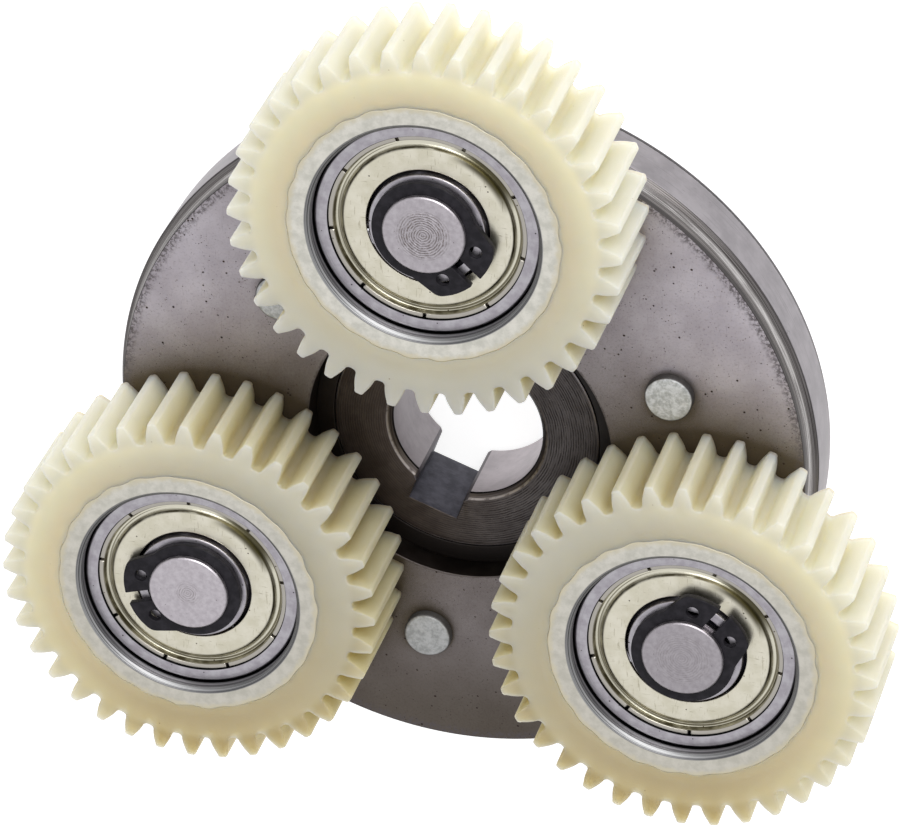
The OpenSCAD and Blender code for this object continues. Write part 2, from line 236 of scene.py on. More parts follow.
def circle_loop(r, z, count, centre=(0, 0)):
    a = np.arange(count) * TAU / count
    x = centre[0] + r * np.cos(a)
    y = centre[1] + r * np.sin(a)
    return np.stack([x, y, np.full(count, z)], axis=1)


def lathe_data(profile, centre=(0, 0), count=192, closed=True, steps=4, warp=None):
    """A turned solid. Each point is (radius, height, corner radius), then what follows' material."""
    fine = soften(profile, steps, closed)
    loops = []
    for r, z, _ in fine:
        loop = circle_loop(max(r, 0.0), z, count, centre)
        loops.append(warp(loop, r, z) if warp else loop)
    capped = not closed
    verts, faces, index = loft_data(loops, closed, capped, capped, lambda s, k: fine[s][2])
    if signed_area([(r, z) for r, z, _ in fine]) > 0:
        faces = [face[::-1] for face in faces]
    return verts, faces, index


def lathe(name, profile, mats, **options):
    verts, faces, index = lathe_data(profile, **options)
    return finish_mesh(name, verts, faces, mats, index)


def flat_outline(name, outline, holes, z0, z1, mats, edge=0.06, centre=(0, 0), turn=0.0):
    """A plate with rounded edges from closed outlines, all as (x, y) points in mm."""
    curve = bpy.data.curves.new(name, "CURVE")
    curve.dimensions = "2D"
    curve.fill_mode = "BOTH"
    curve.extrude = (z1 - z0) / 2 * MM - edge * MM
    curve.bevel_depth = edge * MM
    curve.bevel_resolution = 2
    curve.offset = -edge * MM
    for points in (outline, *holes):
        spline = curve.splines.new("POLY")
        spline.points.add(len(points) - 1)
        for p, (x, y) in zip(spline.points, points):
            p.co = (x * MM, y * MM, 0, 1)
        spline.use_cyclic_u = True
    holder = add_object(name + "_curve", curve)
    mesh = evaluated_mesh(holder)
    bpy.data.objects.remove(holder)
    mesh.name = name
    mesh.materials.clear()
    for m in mats:
        mesh.materials.append(m)
    middle = Vector((*centre, (z0 + z1) / 2)) * MM
    mesh.transform(Matrix.Translation(middle) @ Matrix.Rotation(turn, 4, "Z"))
    mesh.shade_smooth()
    mesh.set_sharp_from_angle(angle=math.radians(PLATE_SHARP_DEG))
    return add_object(name, mesh)


def carve(obj, cutters):
    """Cuts closed cutter meshes out of obj and keeps the result as its mesh."""
    for cutter in cutters:
        tool = finish_mesh("cutter", *cutter[:2], [])
        mod = obj.modifiers.new("cut", "BOOLEAN")
        mod.operation = "DIFFERENCE"
        mod.solver = "EXACT"
        mod.object = tool
        mesh = evaluated_mesh(obj)
        obj.modifiers.clear()
        obj.data = mesh
        bpy.data.objects.remove(tool)
    obj.data.set_sharp_from_angle(angle=math.radians(SHARP_DEG))
    return obj


def stand_for(obj, body, slot, *nodes):
    """The piece rides on a body and replaces CAD nodes; slot, a material slot's name, is not used."""
    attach(obj, body)
    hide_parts(*nodes)
    return obj


# ---- Shader helpers ----


class Nodes:
    """A material's or a world's node tree. Sockets and plain values can be mixed freely."""

    def __init__(self, owner):
        owner.use_nodes = True
        self.tree = owner.node_tree
        self.tree.nodes.clear()

    def put(self, socket, value):
        if isinstance(value, bpy.types.NodeSocket):
            self.tree.links.new(value, socket)
        elif hasattr(value, "__len__") and len(value) == 3 and socket.type == "RGBA":
            socket.default_value = (*value, 1)
        else:
            socket.default_value = value

    def node(self, kind, sockets, **props):
        made = self.tree.nodes.new(kind)
        for key, value in props.items():
            setattr(made, key, value)
        for key, value in sockets.items():
            self.put(made.inputs[key], value)
        return made

    def split(self, p):
        return self.node("ShaderNodeSeparateXYZ", {0: p}).outputs

    def span(self, value, start, end, low=0.0, high=1.0):
        """Smooth step from low at start to high at end."""
        made = self.node(
            "ShaderNodeMapRange",
            {"Value": value, "From Min": start, "From Max": end, "To Min": low, "To Max": high},
            interpolation_type="SMOOTHSTEP",
        )
        return made.outputs[0]


class Shade(Nodes):
    """One material on the Principled shader, with places in millimetres from a centre."""

    def __init__(self, name, centre=(0, 0, 0)):
        self.mat = bpy.data.materials.new(name)
        super().__init__(self.mat)
        out = self.node("ShaderNodeOutputMaterial", {})
        self.bsdf = self.node("ShaderNodeBsdfPrincipled", {})
        self.put(out.inputs["Surface"], self.bsdf.outputs["BSDF"])
        self.p = self.place(centre)
        self.x, self.y, self.z = self.split(self.p)
        self.r = self.radius(self.p)
        self.colour = None

    def coat(self, share, tone):
        """Lays a tone over the colour so far."""
        self.colour = self.mix(share, self.colour, tone)

    def tint(self, factor):
        """Multiplies the colour so far."""
        self.colour = self.mix(1.0, self.colour, factor, "MULTIPLY")

    def finish(self, metallic, roughness, normal=None, **more):
        """Sets the shader's inputs and hands the material over."""
        values = {"Base Color": self.colour, "Metallic": metallic, "Roughness": roughness, **more}
        for key, value in values.items():
            self.put(self.bsdf.inputs[key.replace("_", " ")], value)
        if normal:
            self.put(self.bsdf.inputs["Normal"], normal)
        return self.mat

    def math(self, op, a, b=0.0, c=0.0):
        return self.node("ShaderNodeMath", {0: a, 1: b, 2: c}, operation=op).outputs[0]

    def times(self, first, *others):
        for other in others:
            first = self.math("MULTIPLY", first, other)
        return first

    def plus(self, a, b):
        return self.math("ADD", a, b)

    def minus(self, a, b):
        return self.math("SUBTRACT", a, b)

    def larger(self, a, b):
        return self.math("MAXIMUM", a, b)

    def vec(self, op, a, b=(0, 0, 0), c=(0, 0, 0)):
        made = self.node("ShaderNodeVectorMath", {0: a, 1: b, 2: c}, operation=op)
        return made.outputs["Value" if op == "LENGTH" else "Vector"]

    def place(self, centre=(0, 0, 0)):
        """Object coordinates in millimetres from a centre."""
        coord = self.node("ShaderNodeTexCoord", {}).outputs["Object"]
        return self.vec("MULTIPLY_ADD", coord, (1 / MM,) * 3, tuple(-float(c) for c in centre))

    def radius(self, p):
        return self.vec("LENGTH", self.vec("MULTIPLY", p, (1, 1, 0)))

    def upright(self):
        """One on faces that look up or down, zero on walls."""
        normal = self.node("ShaderNodeNewGeometry", {}).outputs["Normal"]
        return self.math("ABSOLUTE", self.split(normal)[2])

    def openness(self, reach_mm, samples):
        """One in the open, lower where other surfaces stand within reach."""
        made = self.node("ShaderNodeAmbientOcclusion", {"Distance": reach_mm * MM}, samples=samples)
        return made.outputs["AO"]

    def noise(self, scale, detail=3, rough=0.6, vector=None):
        sockets = {"Vector": vector or self.p, "Scale": scale, "Detail": detail, "Roughness": rough}
        return self.node("ShaderNodeTexNoise", sockets).outputs["Fac"]

    def streaks(self, stretch, detail=3, rough=0.6):
        """Noise that is stretched along the axes."""
        return self.noise(1.0, detail, rough, self.vec("MULTIPLY", self.p, stretch))

    def arcs(self, across, along, axial=0.0, detail=3, rough=0.6):
        """Noise that is stretched around the axis, for turning marks."""
        unit = self.vec("SCALE", self.p)
        self.put(unit.node.inputs["Scale"], self.math("DIVIDE", along, self.larger(self.r, 0.05)))
        x, y, _ = self.split(unit)
        first = self.times(self.r, across)
        if axial:
            first = self.plus(first, self.times(self.z, axial))
        vector = self.node("ShaderNodeCombineXYZ", {0: first, 1: x, 2: y}).outputs[0]
        return self.noise(1.0, detail, rough, vector)

    def rings(self, pitch, wobble):
        """Close turning lines about the axis, each a little uneven, from zero to one."""
        drift = self.times(self.noise(0.8), wobble * pitch * 6)
        phase = self.times(self.plus(self.r, drift), TAU / pitch)
        return self.math("MULTIPLY_ADD", self.math("SINE", phase), 0.5, 0.5)

    def scattered(self, scale, size, where, start, end, soft=0.5, detail=1):
        """Dots of a share of their cell's size, kept only where a broader noise passes start to end."""
        cells = self.node("ShaderNodeTexVoronoi", {"Vector": self.p, "Scale": scale})
        dots = self.span(cells.outputs["Distance"], size, size * soft)
        return self.times(dots, self.span(self.noise(where, detail, 0.55), start, end))

    def band(self, value, start, end, soft):
        """One between start and end, with soft edges."""
        rise = self.span(value, start - soft, start + soft)
        fall = self.span(value, end - soft, end + soft, 1.0, 0.0)
        return self.times(rise, fall)

    def vary(self, value, low, high):
        """Carries a noise's usual reach over to low and high."""
        return self.span(value, 0.3, 0.7, low, high)

    def mix(self, share, a, b, mode="MIX"):
        made = self.node("ShaderNodeMix", {}, data_type="RGBA", blend_type=mode)
        for socket, value in zip((0, 6, 7), (share, a, b)):
            self.put(made.inputs[socket], value)
        return made.outputs[2]

    def mottle(self, value, a, b):
        """Colour that follows a noise between two tones."""
        return self.mix(self.vary(value, 0.0, 1.0), a, b)

    def blend(self, share, a, b):
        """Straight mix of two numbers."""
        made = self.node("ShaderNodeMix", {}, data_type="FLOAT")
        for socket, value in zip((0, 2, 3), (share, a, b)):
            self.put(made.inputs[socket], value)
        return made.outputs[0]

    def bump(self, height, depth_mm):
        return self.node("ShaderNodeBump", {"Height": height, "Distance": depth_mm * MM}).outputs[0]


# ---- Materials ----


def nylon(n):
    """Translucent moulded nylon: painted light makes it paler where light reaches it past the carrier,
    painted shade tan on the low side.
    """
    s = Shade(f"nylon_{n}", (*CENTRES[n], GEAR_Z1))
    whole = s.place()
    cloud = s.noise(0.22, 2, 0.5)
    # Painted light: paler away from the hub, where light passes the carrier; the inward tones are
    # painted shade.
    reach = s.span(s.radius(whole), 12.0, 44.0)
    at_teeth = s.span(s.r, 16.2, 17.4)
    beside_sleeve = s.span(s.r, 15.8, 13.4)
    s.colour = s.mix(reach, (0.53, 0.50, 0.40), s.mix(at_teeth, (0.75, 0.67, 0.46), (0.58, 0.55, 0.43)))
    s.coat(beside_sleeve, s.mix(reach, (0.51, 0.47, 0.35), (0.76, 0.64, 0.41)))
    x, y, _ = s.split(whole)
    aside = s.math("ABSOLUTE", x)
    # Painted shade: tan and darker towards the low side (-Y), most on the low teeth.
    low = s.times(s.span(y, 0.0, -42.0), s.span(aside, 26.0, 42.0, 1.0, 0.6))
    s.coat(low, (0.40, 0.32, 0.17))
    low_teeth_shade = s.times(low, at_teeth, s.span(aside, 36.0, 27.0))
    s.coat(low_teeth_shade, (0.31, 0.24, 0.12))
    s.tint(s.mix(cloud, (0.95, 0.95, 0.94), (1.04, 1.04, 1.05)))
    sideways = s.span(s.upright(), 0.75, 0.25)
    # Painted shade: darker, yellower tooth flanks towards the hub.
    flank = s.times(sideways, s.span(reach, 0.75, 0.15, 0.0, 0.45))
    s.coat(flank, (0.47, 0.39, 0.18))
    # Painted shade: brown on the flanks by the rear face, next to the carrier.
    rear_edge_shade = s.times(sideways, s.span(s.z, -9.7, -10.3, 0.0, 0.65))
    s.coat(rear_edge_shade, (0.42, 0.25, 0.08))
    # Painted shade in the hollows towards the hub, painted light in the hollows away from it.
    hollow_light_and_shade = s.span(s.openness(3.0, 8), 0.80, 0.30, 0.0, 0.4)
    s.coat(hollow_light_and_shade, s.mix(s.span(reach, 0.35, 0.85), (0.46, 0.39, 0.19), (0.80, 0.77, 0.60)))
    speck = s.scattered(0.55, 0.05, 0.9, 0.55, 0.6)
    s.coat(s.times(speck, 0.8), (0.25, 0.17, 0.09))
    grain = s.noise(5.0, 4)
    relief = s.plus(grain, s.times(s.noise(0.8, 2, 0.55), 3.0))
    return s.finish(
        0.0, s.vary(grain, 0.46, 0.6), s.bump(relief, 0.006),
        IOR=1.5,
        Specular_IOR_Level=0.25,
        Subsurface_Weight=1.0,
        Subsurface_Radius=(1.0, 0.86, 0.58),
        Subsurface_Scale=s.blend(beside_sleeve, 12.0 * MM, 2.5 * MM),
    )


def sleeve_steel(n):
    """Mottled warm-grey face that fades into the nylon, with fine turning lines inside it."""
    s = Shade(f"sleeve_steel_{n}", (*CENTRES[n], GEAR_Z1))
    patch = s.noise(0.9, 4, 0.62)
    fine = s.noise(7.0)
    turned = s.arcs(9.0, 0.5, 9.0, detail=2)
    s.colour = s.mix(s.span(patch, 0.32, 0.68), (0.56, 0.55, 0.485), (0.72, 0.70, 0.63))
    s.coat(s.span(fine, 0.60, 0.75, 0.0, 0.3), (0.38, 0.37, 0.33))
    # Painted shade: darker towards the low side (-Y).
    low = s.span(s.split(s.place())[1], 10.0, -22.0, 0.0, 0.30)
    s.coat(low, (0.34, 0.30, 0.23))
    ragged = s.plus(s.r, s.times(s.noise(1.6), 0.9))
    s.coat(s.span(ragged, 12.9, 13.6, 0.0, 0.9), (0.62, 0.565, 0.41))
    lines = s.mix(s.span(turned, 0.38, 0.62), (0.12, 0.12, 0.125), (0.46, 0.46, 0.46))
    inside = s.span(s.r, 11.52, 11.40)
    s.coat(inside, lines)
    # Painted shade: a near-black band at the chamfer's foot, in the gap to the bearing.
    seat = BEARING_Z1 - GEAR_Z1
    s.coat(s.span(s.z, seat + 0.22, seat + 0.06), (0.01, 0.01, 0.012))
    relief = s.blend(inside, fine, turned)
    metallic = s.blend(inside, 0.3, 1.0)
    rough = s.blend(inside, s.vary(patch, 0.5, 0.62), 0.48)
    return s.finish(metallic, rough, s.bump(relief, 0.02))


def bearing_steel(name, centre, z1, shaded_gaps=()):
    """Fine ground bearing steel with light scratches, small pits and painted shade in the gaps at its
    edges.
    """
    s = Shade(name, (*centre, z1))
    arcs = s.arcs(9.0, 3.0, 9.0)
    patch = s.noise(0.9)
    s.colour = s.mottle(patch, (0.46, 0.43, 0.47), (0.60, 0.58, 0.61))
    s.coat(s.span(arcs, 0.58, 0.72, 0.0, 0.35), (0.26, 0.24, 0.26))
    pits = s.scattered(1.1, 0.11, 1.7, 0.5, 0.56)
    s.coat(pits, (0.035, 0.03, 0.03))
    # Painted shade: near-black bands in the gaps to the neighbouring parts.
    for start, end in shaded_gaps:
        s.coat(s.band(s.r, start, end, 0.02), (0.008, 0.008, 0.01))
    relief = s.minus(arcs, s.times(pits, 2.0))
    return s.finish(1.0, s.vary(arcs, 0.30, 0.42), s.bump(relief, 0.004))


def shield_plate(n, side, z_face):
    """Warm nickel-like pressed plate: scratched annulus, a groove with drawn lines, painted reflections
    and painted shade, and a greyer crimped rim.
    """
    s = Shade(f"shield_plate_{side}_{n}", (*CENTRES[n], z_face))
    patch = s.noise(0.7, 3, 0.55)
    lines = s.streaks((7.0, 0.7, 1.0))
    cross = s.streaks((0.8, 6.0, 1.0))
    s.colour = s.mottle(patch, (0.80, 0.76, 0.60), (0.93, 0.89, 0.74))
    scratches = s.larger(s.span(lines, 0.62, 0.70), s.span(cross, 0.64, 0.72))
    s.coat(s.times(scratches, 0.5), (0.36, 0.32, 0.20))
    # Painted reflections: dark olive and bright streaks along the groove's drawn lines.
    drawn = s.arcs(7.5, 0.35, 4.0, detail=2)
    groove_lines_and_reflections = s.mix(s.span(drawn, 0.40, 0.54), (0.10, 0.08, 0.03), (0.86, 0.83, 0.68))
    s.coat(s.times(s.band(s.r, 8.15, 9.1, 0.12), 0.85), groove_lines_and_reflections)
    # Painted shade: thin dark lines in the groove's two creases, broken up unevenly.
    patchy = s.span(s.arcs(1.0, 3.0), 0.35, 0.60, 0.35, 0.95)
    for line_r in (8.24, 9.05):
        line = s.band(s.r, line_r - 0.09, line_r + 0.09, 0.05)
        s.coat(s.times(line, patchy), (0.055, 0.045, 0.02))
    # Painted reflection: a dark crescent in the groove on the side facing +X+Y.
    facing = s.math("DIVIDE", s.plus(s.x, s.y), s.larger(s.times(s.r, math.sqrt(2)), 0.1))
    shade = s.times(s.span(facing, 0.86, 0.99), s.band(s.r, 7.75, 9.1, 0.35))
    s.coat(s.times(shade, 0.95), (0.065, 0.055, 0.02))
    s.coat(s.span(s.r, 9.08, 9.16), (0.55, 0.52, 0.46))
    # Painted shade: a near-black line at the rim's edge, against the outer ring.
    s.coat(s.span(s.r, 9.50, 9.56), (0.01, 0.01, 0.008))
    specks = s.scattered(0.9, 0.09, 1.3, 0.50, 0.56)
    s.coat(specks, (0.06, 0.045, 0.03))
    relief = s.plus(s.times(patch, 3.0), s.plus(lines, cross))
    return s.finish(1.0, s.vary(patch, 0.30, 0.38), s.bump(relief, 0.006))


def phosphate(name, centre):
    """Black phosphated spring steel with a fine dull grain and slightly worn edges."""
    s = Shade(name, (*centre, 0))
    grain = s.noise(14.0, 3, 0.65)
    patch = s.noise(1.2)
    s.colour = s.mix(s.span(patch, 0.35, 0.7), (0.008, 0.007, 0.010), (0.019, 0.017, 0.022))
    s.coat(s.span(grain, 0.66, 0.74, 0.0, 0.5), (0.06, 0.055, 0.06))
    return s.finish(0.2, s.vary(grain, 0.45, 0.6), s.bump(grain, 0.008), Specular_IOR_Level=0.3)


def pin_steel(n, ring_strength, mark_r, tone):
    """Pin end with facing marks near its middle, and a ground side."""
    s = Shade(f"pin_steel_{n}", (*CENTRES[n], PIN_HI[2]))
    marks = s.rings(0.24, 0.25)
    marked = s.times(s.span(s.r, mark_r, mark_r - 0.9), ring_strength)
    patch = s.noise(1.6, 4, 0.65)
    fine = s.noise(6.0)
    broken = s.times(s.span(marks, 0.35, 0.95), s.span(s.noise(2.2), 0.36, 0.58))
    s.colour = s.mottle(patch, (0.52, 0.48, 0.51), (0.66, 0.62, 0.65))
    s.tint((tone, tone, tone))
    s.coat(s.times(broken, marked), (0.20, 0.17, 0.16))
    rust = s.times(s.span(fine, 0.55, 0.68), marked)
    s.coat(s.times(rust, 0.6), (0.20, 0.14, 0.10))
    pits = s.scattered(2.2, 0.12, 2.3, 0.56, 0.62)
    s.coat(pits, (0.06, 0.045, 0.04))
    relief = s.plus(s.times(marks, marked, 3), patch)
    return s.finish(1.0, s.vary(patch, 0.38, 0.5), s.bump(relief, 0.012))


def carrier_face():
    """Ground steel face with pits, scratches, painted shade under the gears and towards the low side,
    and a flecked border.
    """
    s = Shade("carrier_face", (0, 0, FACE_Z))
    cloud = s.noise(0.16, 4)
    grain = s.noise(4.5, 4, 0.65)
    s.colour = s.mottle(cloud, (0.45, 0.41, 0.445), (0.58, 0.54, 0.58))
    s.coat(s.span(grain, 0.55, 0.70, 0.0, 0.5), (0.27, 0.24, 0.26))
    smears = s.streaks((0.9, 1.5, 1.0), detail=4, rough=0.7)
    s.coat(s.span(smears, 0.60, 0.72, 0.0, 0.3), (0.20, 0.165, 0.15))
    grinding = s.streaks((5.0, 0.35, 1.0))
    s.coat(s.span(grinding, 0.62, 0.72, 0.0, 0.28), (0.22, 0.19, 0.20))

    # Painted shade: dark warm tone where the gears stand close above, and towards the low side (-Y).
    near_gears = s.times(s.span(s.openness(14.0, 12), 0.98, 0.50), s.span(s.y, 20.0, 4.0, 0.25, 1.0))
    low_side = s.span(s.y, 2.0, -34.0, 0.0, 0.95)
    shade_tone = s.mix(cloud, (0.076, 0.060, 0.038), (0.103, 0.082, 0.055))
    painted_shade = s.larger(near_gears, low_side)
    s.coat(s.times(painted_shade, 0.95), shade_tone)

    pits = s.scattered(0.85, 0.12, 0.7, 0.46, 0.52, soft=0.6, detail=2)
    small = s.scattered(2.3, 0.16, 0.45, 0.44, 0.54, soft=0.6, detail=2)
    dark = s.larger(pits, s.times(small, 0.8))
    ragged = s.plus(s.r, s.times(s.arcs(0.6, 60.0, detail=5, rough=0.7), 1.6))
    flecks = s.span(s.noise(2.6, 4, 0.7), 0.42, 0.58, 0.10, 0.9)
    border = s.times(s.span(ragged, 33.7, 34.6), flecks)
    inner = s.minus(s.r, s.times(s.noise(2.0, 4, 0.7), 0.7))
    inner_edge = s.span(inner, 15.1, 14.95)
    s.coat(border, (0.13, 0.115, 0.12))
    s.coat(s.times(inner_edge, 0.7), (0.10, 0.085, 0.08))
    s.coat(dark, (0.05, 0.035, 0.03))
    relief = s.minus(grain, s.times(dark, 2.5))
    return s.finish(0.9, s.vary(grain, 0.42, 0.56), s.bump(relief, 0.012))


def turned_cove():
    """Grey cove with close turning lines, a painted highlight along its middle and painted shade along
    its edges.
    """
    s = Shade("carrier_cove", (0, 0, FACE_Z))
    lines = s.arcs(11.0, 2.0, -11.0, rough=0.7)
    broad = s.arcs(4.0, 9.0, -4.0)
    s.colour = s.mix(s.span(lines, 0.40, 0.60), (0.075, 0.066, 0.064), (0.25, 0.235, 0.23))
    # Painted highlight: a soft bright run along the middle, stronger on the lit side.
    lit_side = s.span(s.plus(s.x, s.times(s.y, 0.3)), 8.0, 30.0, 0.45, 1.0)
    middle = s.times(s.band(s.z, -1.75, -1.30, 0.25), s.span(broad, 0.36, 0.60, 0.3, 1.0))
    middle = s.times(middle, lit_side, s.span(lines, 0.38, 0.56, 0.2, 1.0))
    s.coat(s.times(middle, 0.85), (0.68, 0.66, 0.65))
    # Painted shade: dark bands along the cove's upper and lower edges.
    s.coat(s.span(s.z, -0.72, -0.5, 0.0, 0.85), (0.05, 0.045, 0.045))
    s.coat(s.span(s.z, -2.28, -2.38, 0.0, 0.7), (0.07, 0.065, 0.065))
    return s.finish(1.0, 0.40, s.bump(lines, 0.012))


def turned_side(name, light, dark, rough=0.34, streak=0.3, shaded_seam=None, side_lighting=None):
    """Satin cylinder or wall with fine turning lines and a few darker drag marks.

    shaded_seam holds the heights of a near-black band of painted shade at a joint, side_lighting the
    painted light and shade at the bore's -X and +X ends.
    """
    s = Shade(name)
    lines = s.arcs(6.0, 5.0, 6.0)
    patch = s.noise(0.35, 4)
    drags = s.arcs(1.2, 22.0, 1.2, rough=0.7)
    s.colour = s.mottle(patch, dark, light)
    s.coat(s.span(lines, 0.55, 0.7, 0.0, streak), tuple(0.5 * c for c in dark))
    s.coat(s.span(drags, 0.68, 0.76, 0.0, 0.6), tuple(0.22 * c for c in dark))
    # Painted shade: a near-black band at a joint.
    if shaded_seam:
        s.coat(s.band(s.z, *shaded_seam, 0.05), (0.012, 0.010, 0.010))
    # Painted light and shade: one end of the bore lighter than the other.
    if side_lighting:
        s.tint(s.span(s.x, -HUB_BORE_R, HUB_BORE_R, *side_lighting))
    return s.finish(1.0, s.vary(patch, rough, rough + 0.1), s.bump(lines, 0.005))


def dark_oxide(name, turned, tone=1.0):
    """Dark oxide over close turning marks; tone scales how light it is."""
    s = Shade(name, (0, 0, HUB_HI[2]))
    marks = s.rings(0.24, 0.15)
    breaks = s.arcs(2.5, 6.0, rough=0.65)
    patch = s.noise(0.35, 4, 0.65)
    grain = s.noise(6.0)
    brown = s.mottle(patch, (0.060, 0.045, 0.036), (0.090, 0.070, 0.058))
    grey = s.mottle(patch, (0.085, 0.075, 0.075), (0.130, 0.118, 0.118))
    s.colour = s.mix(s.span(s.x, -8.0, 9.0), brown, grey)
    s.tint((tone, tone, tone))
    shaded_edge = s.times(s.span(s.r, 13.0, 13.6), s.span(s.y, 1.0, -11.0, 0.0, 0.85))
    s.coat(shaded_edge, (0.012, 0.009, 0.008))
    ridge = s.times(s.span(marks, 0.30, 0.85), s.span(breaks, 0.36, 0.60, 0.2, 1.0))
    ridge = s.times(ridge, s.span(s.x, -9.0, 6.0, 0.35, 0.9))
    s.coat(s.times(ridge, turned), (0.018, 0.014, 0.013))
    bright = s.times(s.span(grain, 0.62, 0.74), s.span(s.x, -10.0, 12.0, 0.15, 0.7))
    s.coat(s.times(bright, turned), (0.30, 0.27, 0.26))
    relief = s.plus(s.times(marks, 0.8 * turned), grain)
    return s.finish(0.75, s.vary(grain, 0.44, 0.58), s.bump(relief, 0.012))


def bore_lip():
    """Chamfer of the hub's bore: a dark inner line, brown middle and a thin light outer line."""
    s = Shade("bore_lip")
    marks = s.arcs(7.0, 1.2, 3.0)
    s.colour = s.mix(s.span(marks, 0.38, 0.62), (0.085, 0.070, 0.065), (0.19, 0.165, 0.155))
    s.coat(s.span(s.r, HUB_BORE_R + 0.16, HUB_BORE_R + 0.06), (0.012, 0.010, 0.010))
    patchy = s.span(s.noise(1.3), 0.36, 0.56, 0.2, 0.9)
    edge = s.band(s.r, HUB_BORE_R + 0.44, HUB_BORE_R + 0.60, 0.05)
    s.coat(s.times(edge, patchy), (0.44, 0.40, 0.38))
    return s.finish(0.95, 0.36, s.bump(marks, 0.01))


def keyway_steel():
    """Milled keyway, dark blue-grey with faint feed marks."""
    s = Shade("keyway_steel")
    feed = s.streaks((1.5, 1.5, 9.0))
    patch = s.noise(0.8)
    s.colour = s.mottle(patch, (0.044, 0.043, 0.056), (0.080, 0.078, 0.098))
    return s.finish(0.8, s.vary(feed, 0.42, 0.55), s.bump(feed, 0.006))


def zinc():
    """Mottled zinc plating on the rivets, with painted shade on the walls of the heads and towards the
    low side.
    """
    s = Shade("zinc_plate")
    patch = s.noise(1.8, 4, 0.65)
    fine = s.noise(9.0)
    s.colour = s.mix(s.span(patch, 0.35, 0.65), (0.40, 0.41, 0.40), (0.68, 0.69, 0.69))
    s.coat(s.span(fine, 0.62, 0.72, 0.0, 0.4), (0.25, 0.24, 0.22))
    # Painted shade: near-black on the walls of the heads.
    s.coat(s.span(s.upright(), 0.93, 0.65, 0.0, 0.94), (0.035, 0.030, 0.028))
    # Painted shade: darker towards the low side (-Y).
    s.coat(s.span(s.y, 5.0, -25.0, 0.0, 0.35), (0.20, 0.20, 0.20))
    relief = s.plus(s.times(patch, 3.0), fine)
    return s.finish(0.55, s.vary(patch, 0.38, 0.55), s.bump(relief, 0.015))


def plain_steel(name, colour, rough, grain_scale=6.0):
    """Bright or dull steel for the small inner pieces, with a fine grain."""
    s = Shade(name)
    grain = s.noise(grain_scale)
    s.colour = s.mottle(grain, tuple(0.8 * c for c in colour), colour)
    return s.finish(1.0, s.vary(grain, rough, rough + 0.08), s.bump(grain, 0.003))


def cage_plastic():
    """Moulded brown cage plastic with a fibre grain."""
    s = Shade("cage_plastic")
    grain = s.streaks((2.0, 6.0, 4.0))
    s.colour = s.mix(grain, (0.20, 0.13, 0.07), (0.34, 0.24, 0.14))
    return s.finish(0.0, s.vary(grain, 0.4, 0.55), s.bump(grain, 0.01))


# ---- Planet gears and sleeves ----


def involute(a):
    return math.tan(a) - a


def flank_angle(r):
    """Half the tooth's width at radius r, in radians."""
    steep = involute(math.acos(min(1.0, BASE_R / r)))
    return HALF_TOOTH + involute(math.radians(20)) - steep


def tooth_outline(turn, root_round=0.42, tip_round=0.34, arc=5, flank=7):
    """Gear outline as (x, y) points about the gear's own middle."""
    foot_r, shoulder_r = ROOT_R + root_round, TIP_R - tip_round
    foot_a, shoulder_a = flank_angle(max(BASE_R, foot_r)), flank_angle(shoulder_r)
    half = []
    for i in range(arc):
        t = math.pi / 2 * i / arc
        spread = root_round / ROOT_R * (1 - math.sin(t))
        half.append((foot_r - root_round * math.cos(t), foot_a + spread))
    for i in range(flank):
        r = foot_r + (shoulder_r - foot_r) * i / flank
        half.append((r, flank_angle(max(BASE_R, r))))
    reach = min(tip_round / TIP_R, shoulder_a * 0.94)
    for i in range(arc + 1):
        t = math.pi / 2 * i / arc
        half.append((shoulder_r + tip_round * math.sin(t), shoulder_a - reach * (1 - math.cos(t))))
    points = []
    for tooth in range(TEETH):
        middle = tooth * TAU / TEETH + math.radians(turn)
        points += [(r * math.cos(middle - a), r * math.sin(middle - a)) for r, a in half]
        points += [(r * math.cos(middle + a), r * math.sin(middle + a)) for r, a in reversed(half)]
    return np.array(points)


def unit_rows(vectors):
    return vectors / np.maximum(np.linalg.norm(vectors, axis=1, keepdims=True), 1e-9)


def outline_normals(points):
    """Outward unit vectors at the points of an anticlockwise outline."""
    ahead = np.roll(points, -1, axis=0) - points
    behind = points - np.roll(points, 1, axis=0)
    along = unit_rows(unit_rows(ahead) + unit_rows(behind))
    return np.stack([along[:, 1], -along[:, 0]], axis=1)


def spokes(angle):
    """Unit vectors at the angles, one a row."""
    return np.stack([np.cos(angle), np.sin(angle)], axis=1)


def raised(points, z):
    """Flat points lifted to a height, or to one height each."""
    height = np.broadcast_to(np.asarray(z, dtype=float).reshape(-1, 1), (len(points), 1))
    return np.concatenate([points, height], axis=1)


def lobe_radius(angle, clearance):
    """Radius of the wavy grip line. Its lobes vary a little, as knurling does."""
    vary = 0.6 + 0.3 * np.sin(3 * angle + 0.7) + 0.25 * np.sin(7 * angle)
    return SLEEVE_R + clearance + LOBE_H * np.cos(LOBES * angle) * np.clip(vary, 0.25, 1.0)


